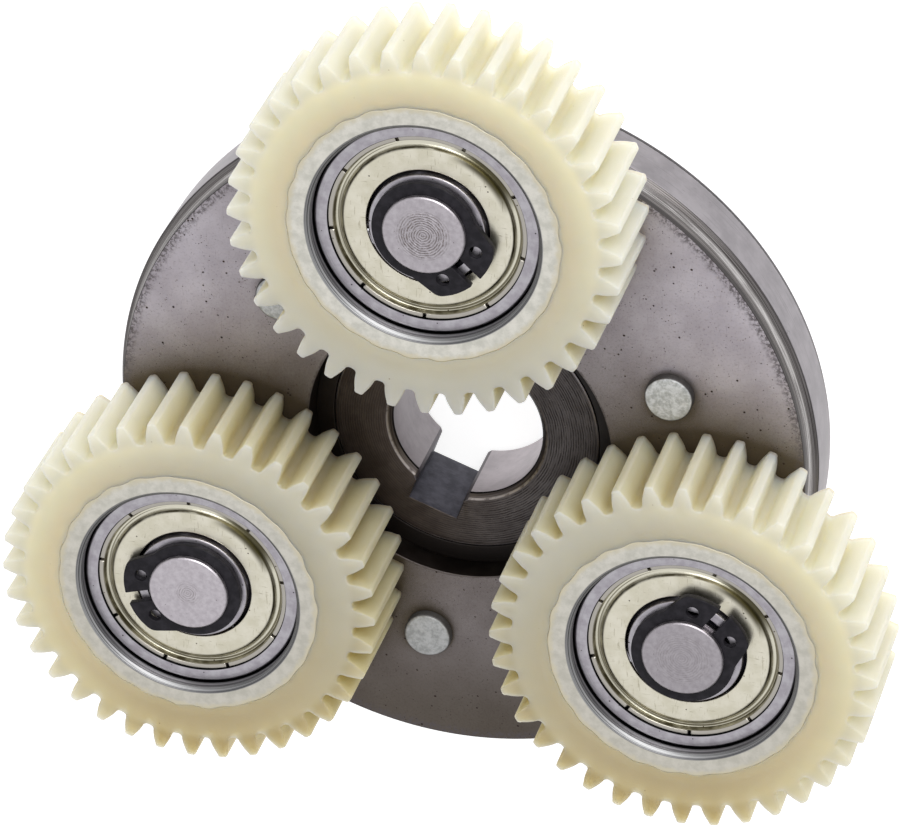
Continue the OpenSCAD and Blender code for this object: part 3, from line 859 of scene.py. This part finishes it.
def planet_gear(n):
    centre = CENTRES[n]
    outline = tooth_outline(TOOTH_TURN[n])
    angle = np.arctan2(outline[:, 1], outline[:, 0])
    normal = outline_normals(outline)
    spoke = spokes(angle)
    grip = spoke * lobe_radius(angle, 0.01)[:, None]
    edge, steps = 0.18, 4
    loops = []

    def level(points, z):
        loops.append(raised(points + centre, z))

    def rim(z, away):
        """Rounded edge from the flat face over to the tooth flanks, or back again."""
        order = range(steps + 1) if away > 0 else range(steps, -1, -1)
        for i in order:
            t = math.pi / 2 * i / steps
            level(outline - normal * edge * (1 - math.sin(t)), z - away * edge * (1 - math.cos(t)))

    web = (14.4, 15.4, ROOT_R - 0.55)
    level(grip, GEAR_Z1 - 0.03)
    level(grip + spoke * 0.05, GEAR_Z1)
    for r in web:
        level(spoke * r, GEAR_Z1)
    rim(GEAR_Z1, 1)
    for share in (0.75, 0.5, 0.25):
        level(outline, GEAR_Z0 + (GEAR_Z1 - GEAR_Z0) * share)
    rim(GEAR_Z0, -1)
    for r in reversed(web):
        level(spoke * r, GEAR_Z0)
    level(grip, GEAR_Z0)
    verts, faces, index = loft_data(loops[::-1])
    gear = finish_mesh(f"planet_gear_body_{n}", verts, faces, [nylon(n)], index, sharp=50)
    return stand_for(gear, f"planet_{n}", "nylon", f"planet_gear_{n}")


def gear_sleeve(n):
    """Steel sleeve: wavy outside, flat front ring, turned chamfer and a seat for the bearing."""
    centre = CENTRES[n]
    count = LOBES * 24
    angle = np.arange(count) * TAU / count
    spoke = spokes(angle)
    seat_r, ledge_r, chamfer = 11.01, 9.9, 0.4
    front = GEAR_Z1 - 0.02
    profile = soften([
        (seat_r, BEARING_Z0, 0.0), (seat_r, front - chamfer, 0.05),
        (seat_r + chamfer, front, 0.06), (SLEEVE_R, front, 0.0, 1),
        (SLEEVE_R, GEAR_Z0, 0.0, 1), (ledge_r, GEAR_Z0, 0.15), (ledge_r, BEARING_Z0, 0.05),
    ])
    loops = []
    for r, z, wavy in profile:
        radii = lobe_radius(angle, 0.0) if wavy else np.full(count, r)
        if wavy and z > GEAR_Z1 - 1:
            loops.append(raised(spoke * (radii - 0.08)[:, None] + centre, z))
            z -= 0.06
        loops.append(raised(spoke * radii[:, None] + centre, z))
    verts, faces, index = loft_data(loops[::-1])
    sleeve = finish_mesh(f"gear_sleeve_body_{n}", verts, faces, [sleeve_steel(n)], index)
    return stand_for(sleeve, f"planet_{n}", "sleeve_steel", f"gear_sleeve_{n}")


# ---- Bearings, pins and circlips ----

NOTCH_COUNT = 9
NOTCH_TURN = {("front", 1): 27.0, ("front", 2): 10.0, ("front", 3): 32.5,
              ("back", 1): 15.0, ("back", 2): 0.0, ("back", 3): 22.0}
SHIELD_R = 9.59
SHIELD_HOLE_R = 5.96
CRIMP_R = 9.12


def ring_section(half):
    """A bearing ring's closed section from (radius, height over its middle, rounding) points."""
    middle = (BEARING_Z0 + BEARING_Z1) / 2
    front = [(r, middle + h, rounding) for r, h, rounding in half]
    rear = [(r, middle - h, rounding) for r, h, rounding in reversed(half)]
    return front + rear


def bearing_ring(n, name, half, shaded_gaps, body, count):
    steel = bearing_steel(f"{name}_steel_{n}", CENTRES[n], BEARING_Z1, shaded_gaps)
    ring = lathe(f"{name}_body_{n}", ring_section(half), [steel], centre=CENTRES[n], count=count)
    return stand_for(ring, body, "bearing_steel", f"bearing_{name}_{n}")


def bearing_outer_ring(n):
    top = (BEARING_Z1 - BEARING_Z0) / 2
    seat, land, track, outer, chamfer = 9.6, 9.0, 9.53, 11.0, 0.28
    half = [
        (track, 0.7, 0.4), (land, 1.5, 0.1), (land, top - 1.2, 0.05), (seat, top - 1.2, 0.05),
        (seat, top, 0.06), (outer - chamfer, top, 0.08), (outer, top - chamfer, 0.08),
    ]
    # Painted shade in the gaps to the sleeve and to the shield.
    return bearing_ring(n, "outer_ring", half, [(10.88, 11.2), (9.4, 9.63)], f"planet_{n}", 192)


def bearing_inner_ring(n):
    top = (BEARING_Z1 - BEARING_Z0) / 2
    bore, step, land, track, chamfer = 4.0, 5.6, 6.0, 5.47, 0.3
    half = [
        (track, 0.7, 0.4), (land, 1.4, 0.1), (land, top - 1.3, 0.05), (step, top - 1.3, 0.05),
        (step, top, 0.12), (bore + chamfer, top, 0.1), (bore, top - chamfer, 0.1),
    ]
    # Painted shade in the gaps to the pin and to the shield's hole.
    return bearing_ring(n, "inner_ring", half, [(4.0, 4.7), (5.62, 6.05)], "carrier", 128)


def shield(n, side):
    """Pressed bearing shield: flat annulus, dished groove and a crimped rim with notches."""
    face, sign = (BEARING_Z1, 1) if side == "front" else (BEARING_Z0, -1)
    turn = sign * math.radians(NOTCH_TURN[(side, n)])
    centre = CENTRES[n]
    count = NOTCH_COUNT * 80
    pitch = TAU / NOTCH_COUNT
    notch_half, notch_slope, notch_depth = 0.17, 0.07, 0.55

    def warp(loop, r, z):
        """Drops the crimped rim at each notch."""
        if r > CRIMP_R and (z - face) * sign > -0.5:
            angle = np.arctan2(loop[:, 1] - centre[1], loop[:, 0] - centre[0]) - turn
            off = np.abs((angle + pitch / 2) % pitch - pitch / 2) * r
            loop[:, 2] -= sign * notch_depth * np.clip((notch_half - off) / notch_slope, 0, 1)
        return loop

    def at(r, depth, round_r):
        return r, face - sign * depth, round_r

    profile = [
        at(SHIELD_HOLE_R, 0.63, 0.05), at(SHIELD_HOLE_R, 0.38, 0.09), at(8.15, 0.38, 0.22),
        at(8.5, 0.80, 0.16), at(8.98, 0.82, 0.12), at(9.14, 0.22, 0.08), at(SHIELD_R, 0.20, 0.08),
        at(SHIELD_R, 0.75, 0.05), at(9.38, 0.82, 0.08), at(9.2, 1.05, 0.08), at(8.3, 1.05, 0.1),
        at(8.0, 0.63, 0.1),
    ]
    plate = shield_plate(n, side, face)
    piece = lathe(f"{side}_shield_body_{n}", profile, [plate], centre=centre, count=count, warp=warp)
    return stand_for(piece, f"planet_{n}", "shield_plate", f"{side}_shield_{n}")


CLIP_TURN = {1: 316, 2: 196, 3: 53}
PIN_R = 3.99
# How strong the facing marks are, the radius they reach and the tone of the end
PIN_FINISH = {1: (0.9, 2.9, 0.95), 2: (0.45, 1.6, 1.08), 3: (0.25, 3.2, 0.80)}


def polar(r, angle):
    return np.array((r * math.cos(angle), r * math.sin(angle)))


def ring_with_lugs(r_in, wide, lug, hole_circle_r, hole_turn, hole_r, gap_w):
    """Outline and lug holes of a retaining ring whose parallel gap points along +X.

    lug holds the radius reached, the angle its tip spans to and the angle where its side meets
    the ring.
    """
    shift = wide * 0.07
    body_r = r_in + wide - shift
    tip_r, tip_a, join_a = lug[0], math.radians(lug[1]), math.radians(lug[2])
    middle = np.array((-shift, 0.0))
    tip_end = polar(tip_r, tip_a)
    side = polar(body_r - shift, join_a) - tip_end
    start = tip_end - middle
    a, b, c = side @ side, 2 * start @ side, start @ start - body_r**2
    meet = tip_end + side * (-b - math.sqrt(b * b - 4 * a * c)) / (2 * a) - middle
    meet_a = math.atan2(meet[1], meet[0])

    gap_in, gap_out = math.asin(gap_w / 2 / r_in), math.asin(gap_w / 2 / tip_r)
    corners = [(*polar(r_in, gap_in), 0.1), (*polar(tip_r, gap_out), 0.15)]
    corners += [(*polar(tip_r, t), 0.0) for t in np.linspace(gap_out, tip_a, 9)[2:-3]]
    corners += [(*tip_end, 0.85)]
    body = [(*(middle + polar(body_r, t)), 0.0) for t in np.linspace(meet_a, TAU - meet_a, 80)]
    mirrored = [(x, -y, c) for x, y, c in reversed(corners)]
    inner = [(*polar(r_in, t), 0.0) for t in np.linspace(TAU - gap_in, gap_in, 72)[1:-1]]
    outline = [(x, y) for x, y, _ in soften(corners + body + mirrored + inner)]
    holes = []
    for side in (1, -1):
        x, y = polar(hole_circle_r, side * math.radians(hole_turn))
        around = np.linspace(0, -TAU, 33)[:-1]
        holes.append([(x + hole_r * math.cos(a), y + hole_r * math.sin(a)) for a in around])
    return outline, holes


def circlip(n):
    outline, holes = ring_with_lugs(
        r_in=PIN_R - 0.18, wide=1.35, lug=(6.75, 36, 62),
        hole_circle_r=5.05, hole_turn=27, hole_r=0.62, gap_w=1.2,
    )
    black = phosphate(f"phosphate_{n}", CENTRES[n])
    clip = flat_outline(
        f"circlip_body_{n}", outline, holes, CLIP_LO[2], CLIP_HI[2], [black],
        edge=0.07, centre=CENTRES[n], turn=math.radians(CLIP_TURN[n]),
    )
    return stand_for(clip, "carrier", "spring_steel_black", f"circlip_{n}")


def planet_pin(n):
    z0, z1 = PIN_LO[2], PIN_HI[2]
    groove = PIN_R - 0.2
    profile = [
        (0, z0, 0), (PIN_R - 0.25, z0, 0.08), (PIN_R, z0 + 0.25, 0.08),
        (PIN_R, CLIP_LO[2] - 0.03, 0.02), (groove, CLIP_LO[2] - 0.03, 0.02),
        (groove, CLIP_HI[2] + 0.03, 0.02), (PIN_R, CLIP_HI[2] + 0.03, 0.04),
        (PIN_R, z1 - 0.14, 0.06), (PIN_R - 0.14, z1, 0.06), (0, z1, 0),
    ]
    steel = pin_steel(n, *PIN_FINISH[n])
    pin = lathe(f"planet_pin_body_{n}", profile, [steel], centre=CENTRES[n], count=128, closed=False)
    return stand_for(pin, "carrier", "pin_steel", f"planet_pin_{n}")


# ---- Carrier, cover, hub and rivets ----

RIVET_CIRCLE_R = 22.45
RIVET_ANGLE = 21.2
KEY_ANGLE = math.radians(249.5)
KEY_HALF = 2.5
KEY_FLOOR = 10.1
KEY_EDGE = 0.3
ROLLER_FIRST, ROLLER_COUNT = 36.0, 6
ROLLER_R = 1.75
ROLLER_CIRCLE_R = 15.06
POCKET_TOP = 4.1


def cylinder_data(r, z0, z1, centre, count=64):
    loops = [circle_loop(r, z, count, centre) for z in (z0, z1)]
    return loft_data(loops, False, True, True)


def prism_data(corners, z0, z1):
    loops = [np.array([(x, y, z) for x, y in corners]) for z in (z0, z1)]
    return loft_data(loops, False, True, True)


def shaft_holes(z0, z1, pin_r):
    """Cutters for the three planet pins and the three rivets."""
    cuts = [cylinder_data(pin_r, z0, z1, CENTRES[n]) for n in PLANETS]
    return cuts + [cylinder_data(SHANK_R + 0.01, z0, z1, place) for place in rivet_places()]


def rivet_places():
    return [polar(RIVET_CIRCLE_R, math.radians(RIVET_ANGLE + 120 * i)) for i in range(3)]


def roller_pockets(z0, z1):
    """Round roller seats with a straight spring slot beside each."""
    slot = [(13.8, 0.0), (16.7, 0.0), (16.7, 7.2), (13.8, 7.2)]
    cuts = []
    for i in range(ROLLER_COUNT):
        a = math.radians(ROLLER_FIRST + 360 / ROLLER_COUNT * i)
        c, s = math.cos(a), math.sin(a)
        cuts.append(cylinder_data(ROLLER_R + 0.05, z0, z1, polar(ROLLER_CIRCLE_R, a)))
        cuts.append(prism_data([(x * c - y * s, x * s + y * c) for x, y in slot], z0, z1))
    return cuts


def carrier_disc():
    z0, z1 = CARRIER_LO[2], FACE_Z
    cove_end = math.acos(1 - (CARRIER_R - FACE_R) / COVE_R)
    cove = [
        (FACE_R + COVE_R * (1 - math.cos(t)), z1 - COVE_TOP - COVE_R * math.sin(t), 0.0, 1)
        for t in np.linspace(0, cove_end, 12)[:-1]
    ]
    cove_z = z1 - COVE_TOP - COVE_R * math.sin(cove_end)
    profile = [
        (RECESS_R, z0, 0.05, 3), (RECESS_R, z1, 0.10), (FACE_R, z1, 0.07, 1),
        *cove, (CARRIER_R, cove_z, 0.06, 2), (CARRIER_R, z0, 0.12),
    ]
    mats = [
        carrier_face(),
        turned_cove(),
        turned_side("carrier_rim", (0.34, 0.32, 0.335), (0.24, 0.225, 0.237), rough=0.42),
        # Painted shade: the recess wall's near-black tones stand for the shadow in the recess.
        turned_side("recess_wall", (0.060, 0.050, 0.045), (0.035, 0.028, 0.025), rough=0.42),
    ]
    disc = lathe("carrier_disc_body", profile, mats, count=288)
    carve(disc, shaft_holes(z0 - 1, z1 + 1, PIN_HOLE_R) + roller_pockets(z0 - 1, POCKET_TOP))
    return stand_for(disc, "carrier", "ground_steel", "carrier_disc")


def back_cover():
    z0, z1 = COVER_LO[2], COVER_HI[2]
    r = COVER_HI[0]
    profile = [
        (COVER_BORE_R, z0, 0.12), (COVER_BORE_R, z1, 0.0), (r, z1, 0.0, 1),
        (r, z0 + 0.25, 0.08, 1), (r - 0.25, z0, 0.08),
    ]
    # Painted shade: the cover's rim is dark, as it stands in shadow, with a near-black band at its
    # joint with the carrier.
    shaded_seam = (z1 - 0.2, z1)
    rim = turned_side("cover_rim", (0.11, 0.10, 0.105), (0.07, 0.065, 0.068), shaded_seam=shaded_seam)
    cover = lathe("back_cover_body", profile, [cover_face(), rim], count=288)
    carve(cover, shaft_holes(z0 - 1, z1 + 1, PIN_HOLE_R + 0.05))
    return stand_for(cover, "carrier", "ground_steel", "back_cover")


def cover_face():
    """Rear plate: rolled steel with straight grinding lines and a few stains."""
    s = Shade("cover_face")
    lines = s.streaks((0.5, 8.0, 1.0), detail=4, rough=0.65)
    cloud = s.noise(0.12, 4)
    s.colour = s.mottle(cloud, (0.38, 0.355, 0.38), (0.52, 0.49, 0.52))
    s.coat(s.span(lines, 0.52, 0.7, 0.0, 0.4), (0.25, 0.23, 0.24))
    pits = s.scattered(0.7, 0.1, 0.5, 0.5, 0.56, soft=0.6, detail=2)
    s.coat(pits, (0.05, 0.04, 0.035))
    return s.finish(0.95, s.vary(lines, 0.36, 0.5), s.bump(lines, 0.008))


def key_outline(bore=HUB_BORE_R, floor=KEY_FLOOR, half=KEY_HALF, count=360):
    """Keyed bore as points about the main axis, listed by rising angle from the keyway's middle."""
    bore_a = math.asin(half / bore) + KEY_EDGE / bore
    wall_x = math.sqrt(bore**2 - half**2) + KEY_EDGE
    corner_a = math.atan2(half, floor)
    points = []
    for t in np.linspace(0, corner_a, 9):
        points.append((floor, floor * math.tan(t)))
    for t in np.linspace(0, 1, 8)[1:]:
        points.append((floor + (wall_x - floor) * t, half))
    rest = count // 2 - len(points)
    arc = [(bore * math.cos(a), bore * math.sin(a)) for a in np.linspace(bore_a, math.pi, rest + 1)]
    upper = points + arc
    lower = [(x, -y) for x, y in reversed(upper[1:-1])]
    return np.array(upper + lower)


def clutch_hub():
    """Hub with a keyed bore. Its loops keep the same count, so the keyway runs through cleanly."""
    z0, z1 = HUB_LO[2], HUB_HI[2]
    c, s = math.cos(KEY_ANGLE), math.sin(KEY_ANGLE)
    turn = np.array([[c, s], [-s, c]])
    bore = key_outline()
    spoke = spokes(np.arctan2(bore[:, 1], bore[:, 0]))
    in_key = np.linalg.norm(bore, axis=1) > HUB_BORE_R + 0.02
    hub_r = HUB_HI[0]
    groove_r = TAIL_R - 0.7
    rows = []

    def row(points, z, tag):
        rows.append((raised(points @ turn, z), tag))

    for r in (13.1, 12.6, 11.9, 11.2):
        row(spoke * r, z1, 0)
    for flare, ease, depth in ((0.66, 0.12, 0.0), (0.58, 0.06, 0.04), (0.05, 0.0, 0.56)):
        row(key_outline(HUB_BORE_R + flare, KEY_FLOOR + ease, KEY_HALF + ease), z1 - depth, 1)
    row(bore, z1 - 0.66, 2)
    row(bore, (z0 + z1) / 2, 2)
    row(bore, z0 + 0.4, 1)
    row(key_outline(HUB_BORE_R + 0.4, KEY_FLOOR + 0.1, KEY_HALF + 0.1), z0, 0)
    for r, z in (
        (11.2, z0), (11.6, z0), (TAIL_R - 0.3, z0), (TAIL_R - 0.08, z0 + 0.08), (TAIL_R, z0 + 0.3),
        (TAIL_R, SNAP_LO[2] - 0.04), (groove_r, SNAP_LO[2] - 0.04), (groove_r, SNAP_HI[2] + 0.04),
        (TAIL_R, SNAP_HI[2] + 0.04), (TAIL_R, COVER_HI[2] + 0.1), (hub_r, COVER_HI[2] + 0.1),
        (hub_r, z1 - 0.2), (hub_r - 0.06, z1 - 0.06),
    ):
        row(spoke * r, z, 3)
    loops = [points for points, _ in rows]
    tags = [tag for _, tag in rows]

    def material(strip, k):
        tag = tags[strip]
        key_ends = int(in_key[k]) + int(in_key[(k + 1) % len(in_key)])
        if tag not in (1, 2) or key_ends == 0:
            return tag
        if key_ends == 1:
            return 5
        return 4 if tag == 2 or strip > 4 else 0

    mats = [
        dark_oxide("hub_face", 1.0),
        bore_lip(),
        # Painted light and shade: the bore wall is lighter at its +X end.
        turned_side(
            "bore_wall", (0.54, 0.50, 0.52), (0.39, 0.36, 0.375), 0.48, streak=0.15, side_lighting=(0.72, 1.22)
        ),
        turned_side("hub_side", (0.30, 0.28, 0.29), (0.2, 0.18, 0.19), rough=0.35),
        keyway_steel(),
        turned_side("broken_edge", (0.17, 0.155, 0.165), (0.12, 0.11, 0.12), rough=0.42, streak=0.1),
    ]
    verts, faces, index = loft_data(loops, mat_of=material)
    hub = finish_mesh("clutch_hub_body", verts, faces, mats, index, sharp=28)
    return stand_for(hub, "hub", "hub_steel", "clutch_hub")


def roller_retainer():
    z0, z1, r = RETAINER_LO[2], RETAINER_HI[2], RETAINER_HI[0]
    r_in = HUB_HI[0] + 0.06
    profile = [(r_in, z0, 0.08), (r, z0, 0.08), (r, z1, 0.12), (r_in, z1, 0.12)]
    ring = lathe("roller_retainer_body", profile, [dark_oxide("retainer_oxide", 0.12, 0.30)], count=240)
    return stand_for(ring, "carrier", "hub_steel", "roller_retainer")


def hub_snap_ring():
    outline, holes = ring_with_lugs(
        r_in=11.53, wide=2.6, lug=(15.4, 22, 34),
        hole_circle_r=13.5, hole_turn=16, hole_r=0.9, gap_w=3.4,
    )
    black = phosphate("phosphate_hub", (0, 0))
    ring = flat_outline(
        "hub_snap_ring_body", outline, holes, SNAP_LO[2], SNAP_HI[2], [black],
        edge=0.12, turn=KEY_ANGLE + math.pi,
    )
    return stand_for(ring, "hub", "spring_steel_black", "hub_snap_ring")


def rivets():
    """Upset rivet heads, front and rear, on one shank each."""
    head_r, foot_r = 2.4, 2.3
    z_top, z_low = RIVET_HI[2], RIVET_LO[2]
    profile = [
        (0, z_low, 0), (1.2, z_low, 0.6), (foot_r - 0.1, z_low + 0.12, 0.35),
        (foot_r, -0.02, 0.05), (SHANK_R, 0.0, 0.0), (SHANK_R, FACE_Z, 0.0),
        (head_r, FACE_Z + 0.02, 0.05), (head_r, z_top - 0.2, 0.12),
        (head_r - 0.2, z_top - 0.03, 0.2), (1.0, z_top, 0.5), (0, z_top, 0),
    ]

    def rivet(i, place):
        def warp(loop, r, z):
            """Hand-set heads are never quite round."""
            if r > SHANK_R + 0.1:
                angle = np.arctan2(loop[:, 1] - place[1], loop[:, 0] - place[0])
                wave = 0.02 * np.sin(3 * angle + i) + 0.012 * np.sin(5 * angle + 2 * i) - 0.035
                loop[:, :2] += (loop[:, :2] - place) / r * wave[:, None]
            return loop

        return lathe_data(profile, centre=place, count=72, closed=False, warp=warp)

    verts, faces, index = join_data([rivet(i, place) for i, place in enumerate(rivet_places())])
    piece = finish_mesh("rivets_body", verts, faces, [zinc()], index)
    return stand_for(piece, "carrier", "zinc_rivet", "rivets")


def dress_inner_nodes():
    """The small inner CAD nodes keep their shape and get their finish."""
    finishes = {
        "bearing_balls": plain_steel("ball_steel", (0.80, 0.80, 0.82), 0.08, 2.0),
        "ball_cage": cage_plastic(),
        "spacer": plain_steel("spacer_steel", (0.48, 0.46, 0.48), 0.38),
        "clutch_roller": plain_steel("roller_steel", (0.66, 0.66, 0.68), 0.2),
        "roller_springs": plain_steel("spring_steel", (0.5, 0.49, 0.5), 0.35),
    }
    for name, node in frame["nodes"].items():
        for start, mat in finishes.items():
            if name.startswith(start):
                for material_slot in node.material_slots:
                    material_slot.material = mat
                if not node.material_slots:
                    node.data.materials.append(mat)


# ---- Stage, light and camera ----


def floor():
    """A plain pale floor just under the part."""
    half = 1.5
    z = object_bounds()[0].z - 0.05 * MM
    corners = [(x * half, y * half, z) for x, y in ((-1, -1), (1, -1), (1, 1), (-1, 1))]
    mesh = bpy.data.meshes.new("floor")
    mesh.from_pydata(corners, [], [(0, 1, 2, 3)])
    s = Shade("floor_paper")
    s.colour = s.mix(s.noise(0.004, 2, 0.55), (0.50, 0.50, 0.50), (0.54, 0.54, 0.54))
    glow = {"Emission_Color": (1, 1, 1), "Emission_Strength": 0.82}
    paper = s.finish(0.0, 0.9, Specular_IOR_Level=0.1, **glow)
    mesh.materials.append(paper)
    add_object("floor", mesh)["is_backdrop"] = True


CAMERA_AZIMUTH = 155.127
CAMERA_ELEVATION = 55.992
CAMERA_ROLL = 151.961
CAMERA_TARGET = Vector((0.741, 6.276, 13.85)) * MM
CAMERA_DISTANCE = 513.9 * MM
CAMERA_LENS = 216.03


def direction(azimuth, elevation):
    """Unit vector from the part towards a viewer at that angle."""
    a, e = math.radians(azimuth), math.radians(elevation)
    return Vector((math.sin(a) * math.cos(e), -math.cos(a) * math.cos(e), math.sin(e)))


def camera():
    back = direction(CAMERA_AZIMUTH, CAMERA_ELEVATION)
    up = Vector((0, 0, 1))
    level = (up - back * up.dot(back)).normalized()
    side = level.cross(back)
    roll = math.radians(CAMERA_ROLL)
    up = level * math.cos(roll) + side * math.sin(roll)
    right = up.cross(back)
    data = bpy.data.cameras.new("camera")
    data.lens = CAMERA_LENS
    data.clip_start, data.clip_end = 0.01, 10
    obj = add_object("camera", data)
    facing = Matrix((right, up, back)).transposed().to_4x4()
    obj.matrix_world = Matrix.Translation(CAMERA_TARGET + back * CAMERA_DISTANCE) @ facing
    bpy.context.scene.camera = obj


def softbox(name, towards, distance, size, power):
    data = bpy.data.lights.new(name, "AREA")
    data.shape = "RECTANGLE"
    data.size, data.size_y = size
    data.energy = power
    obj = add_object(name, data)
    obj.location = towards * distance
    obj.rotation_mode = "QUATERNION"
    obj.rotation_quaternion = towards.to_track_quat("Z", "Y")


def light():
    """A pale tent that is brighter overhead, and one large soft key light."""
    scene = bpy.context.scene
    scene.world = bpy.data.worlds.new("studio")
    sky = Nodes(scene.world)
    height = sky.split(sky.node("ShaderNodeTexCoord", {}).outputs["Generated"])["Z"]
    strength = sky.span(height, 0.1, 0.8, 0.42, 0.78)
    tent = sky.node("ShaderNodeBackground", {"Color": (0.98, 0.98, 1.0), "Strength": strength})
    sky.node("ShaderNodeOutputWorld", {"Surface": tent.outputs[0]})
    softbox("key", direction(160, 34), distance=1.0, size=(0.7, 0.7), power=7.0)
    scene.view_settings.view_transform = "Standard"
    scene.view_settings.look = "None"
    scene.view_settings.exposure = 0.0
    scene.view_settings.gamma = 1.0


# ---- Build ----

for n in PLANETS:
    planet_gear(n)
    gear_sleeve(n)
    bearing_outer_ring(n)
    bearing_inner_ring(n)
    shield(n, "front")
    shield(n, "back")
    circlip(n)
    planet_pin(n)
carrier_disc()
back_cover()
clutch_hub()
roller_retainer()
hub_snap_ring()
rivets()
dress_inner_nodes()
floor()
light()
camera()
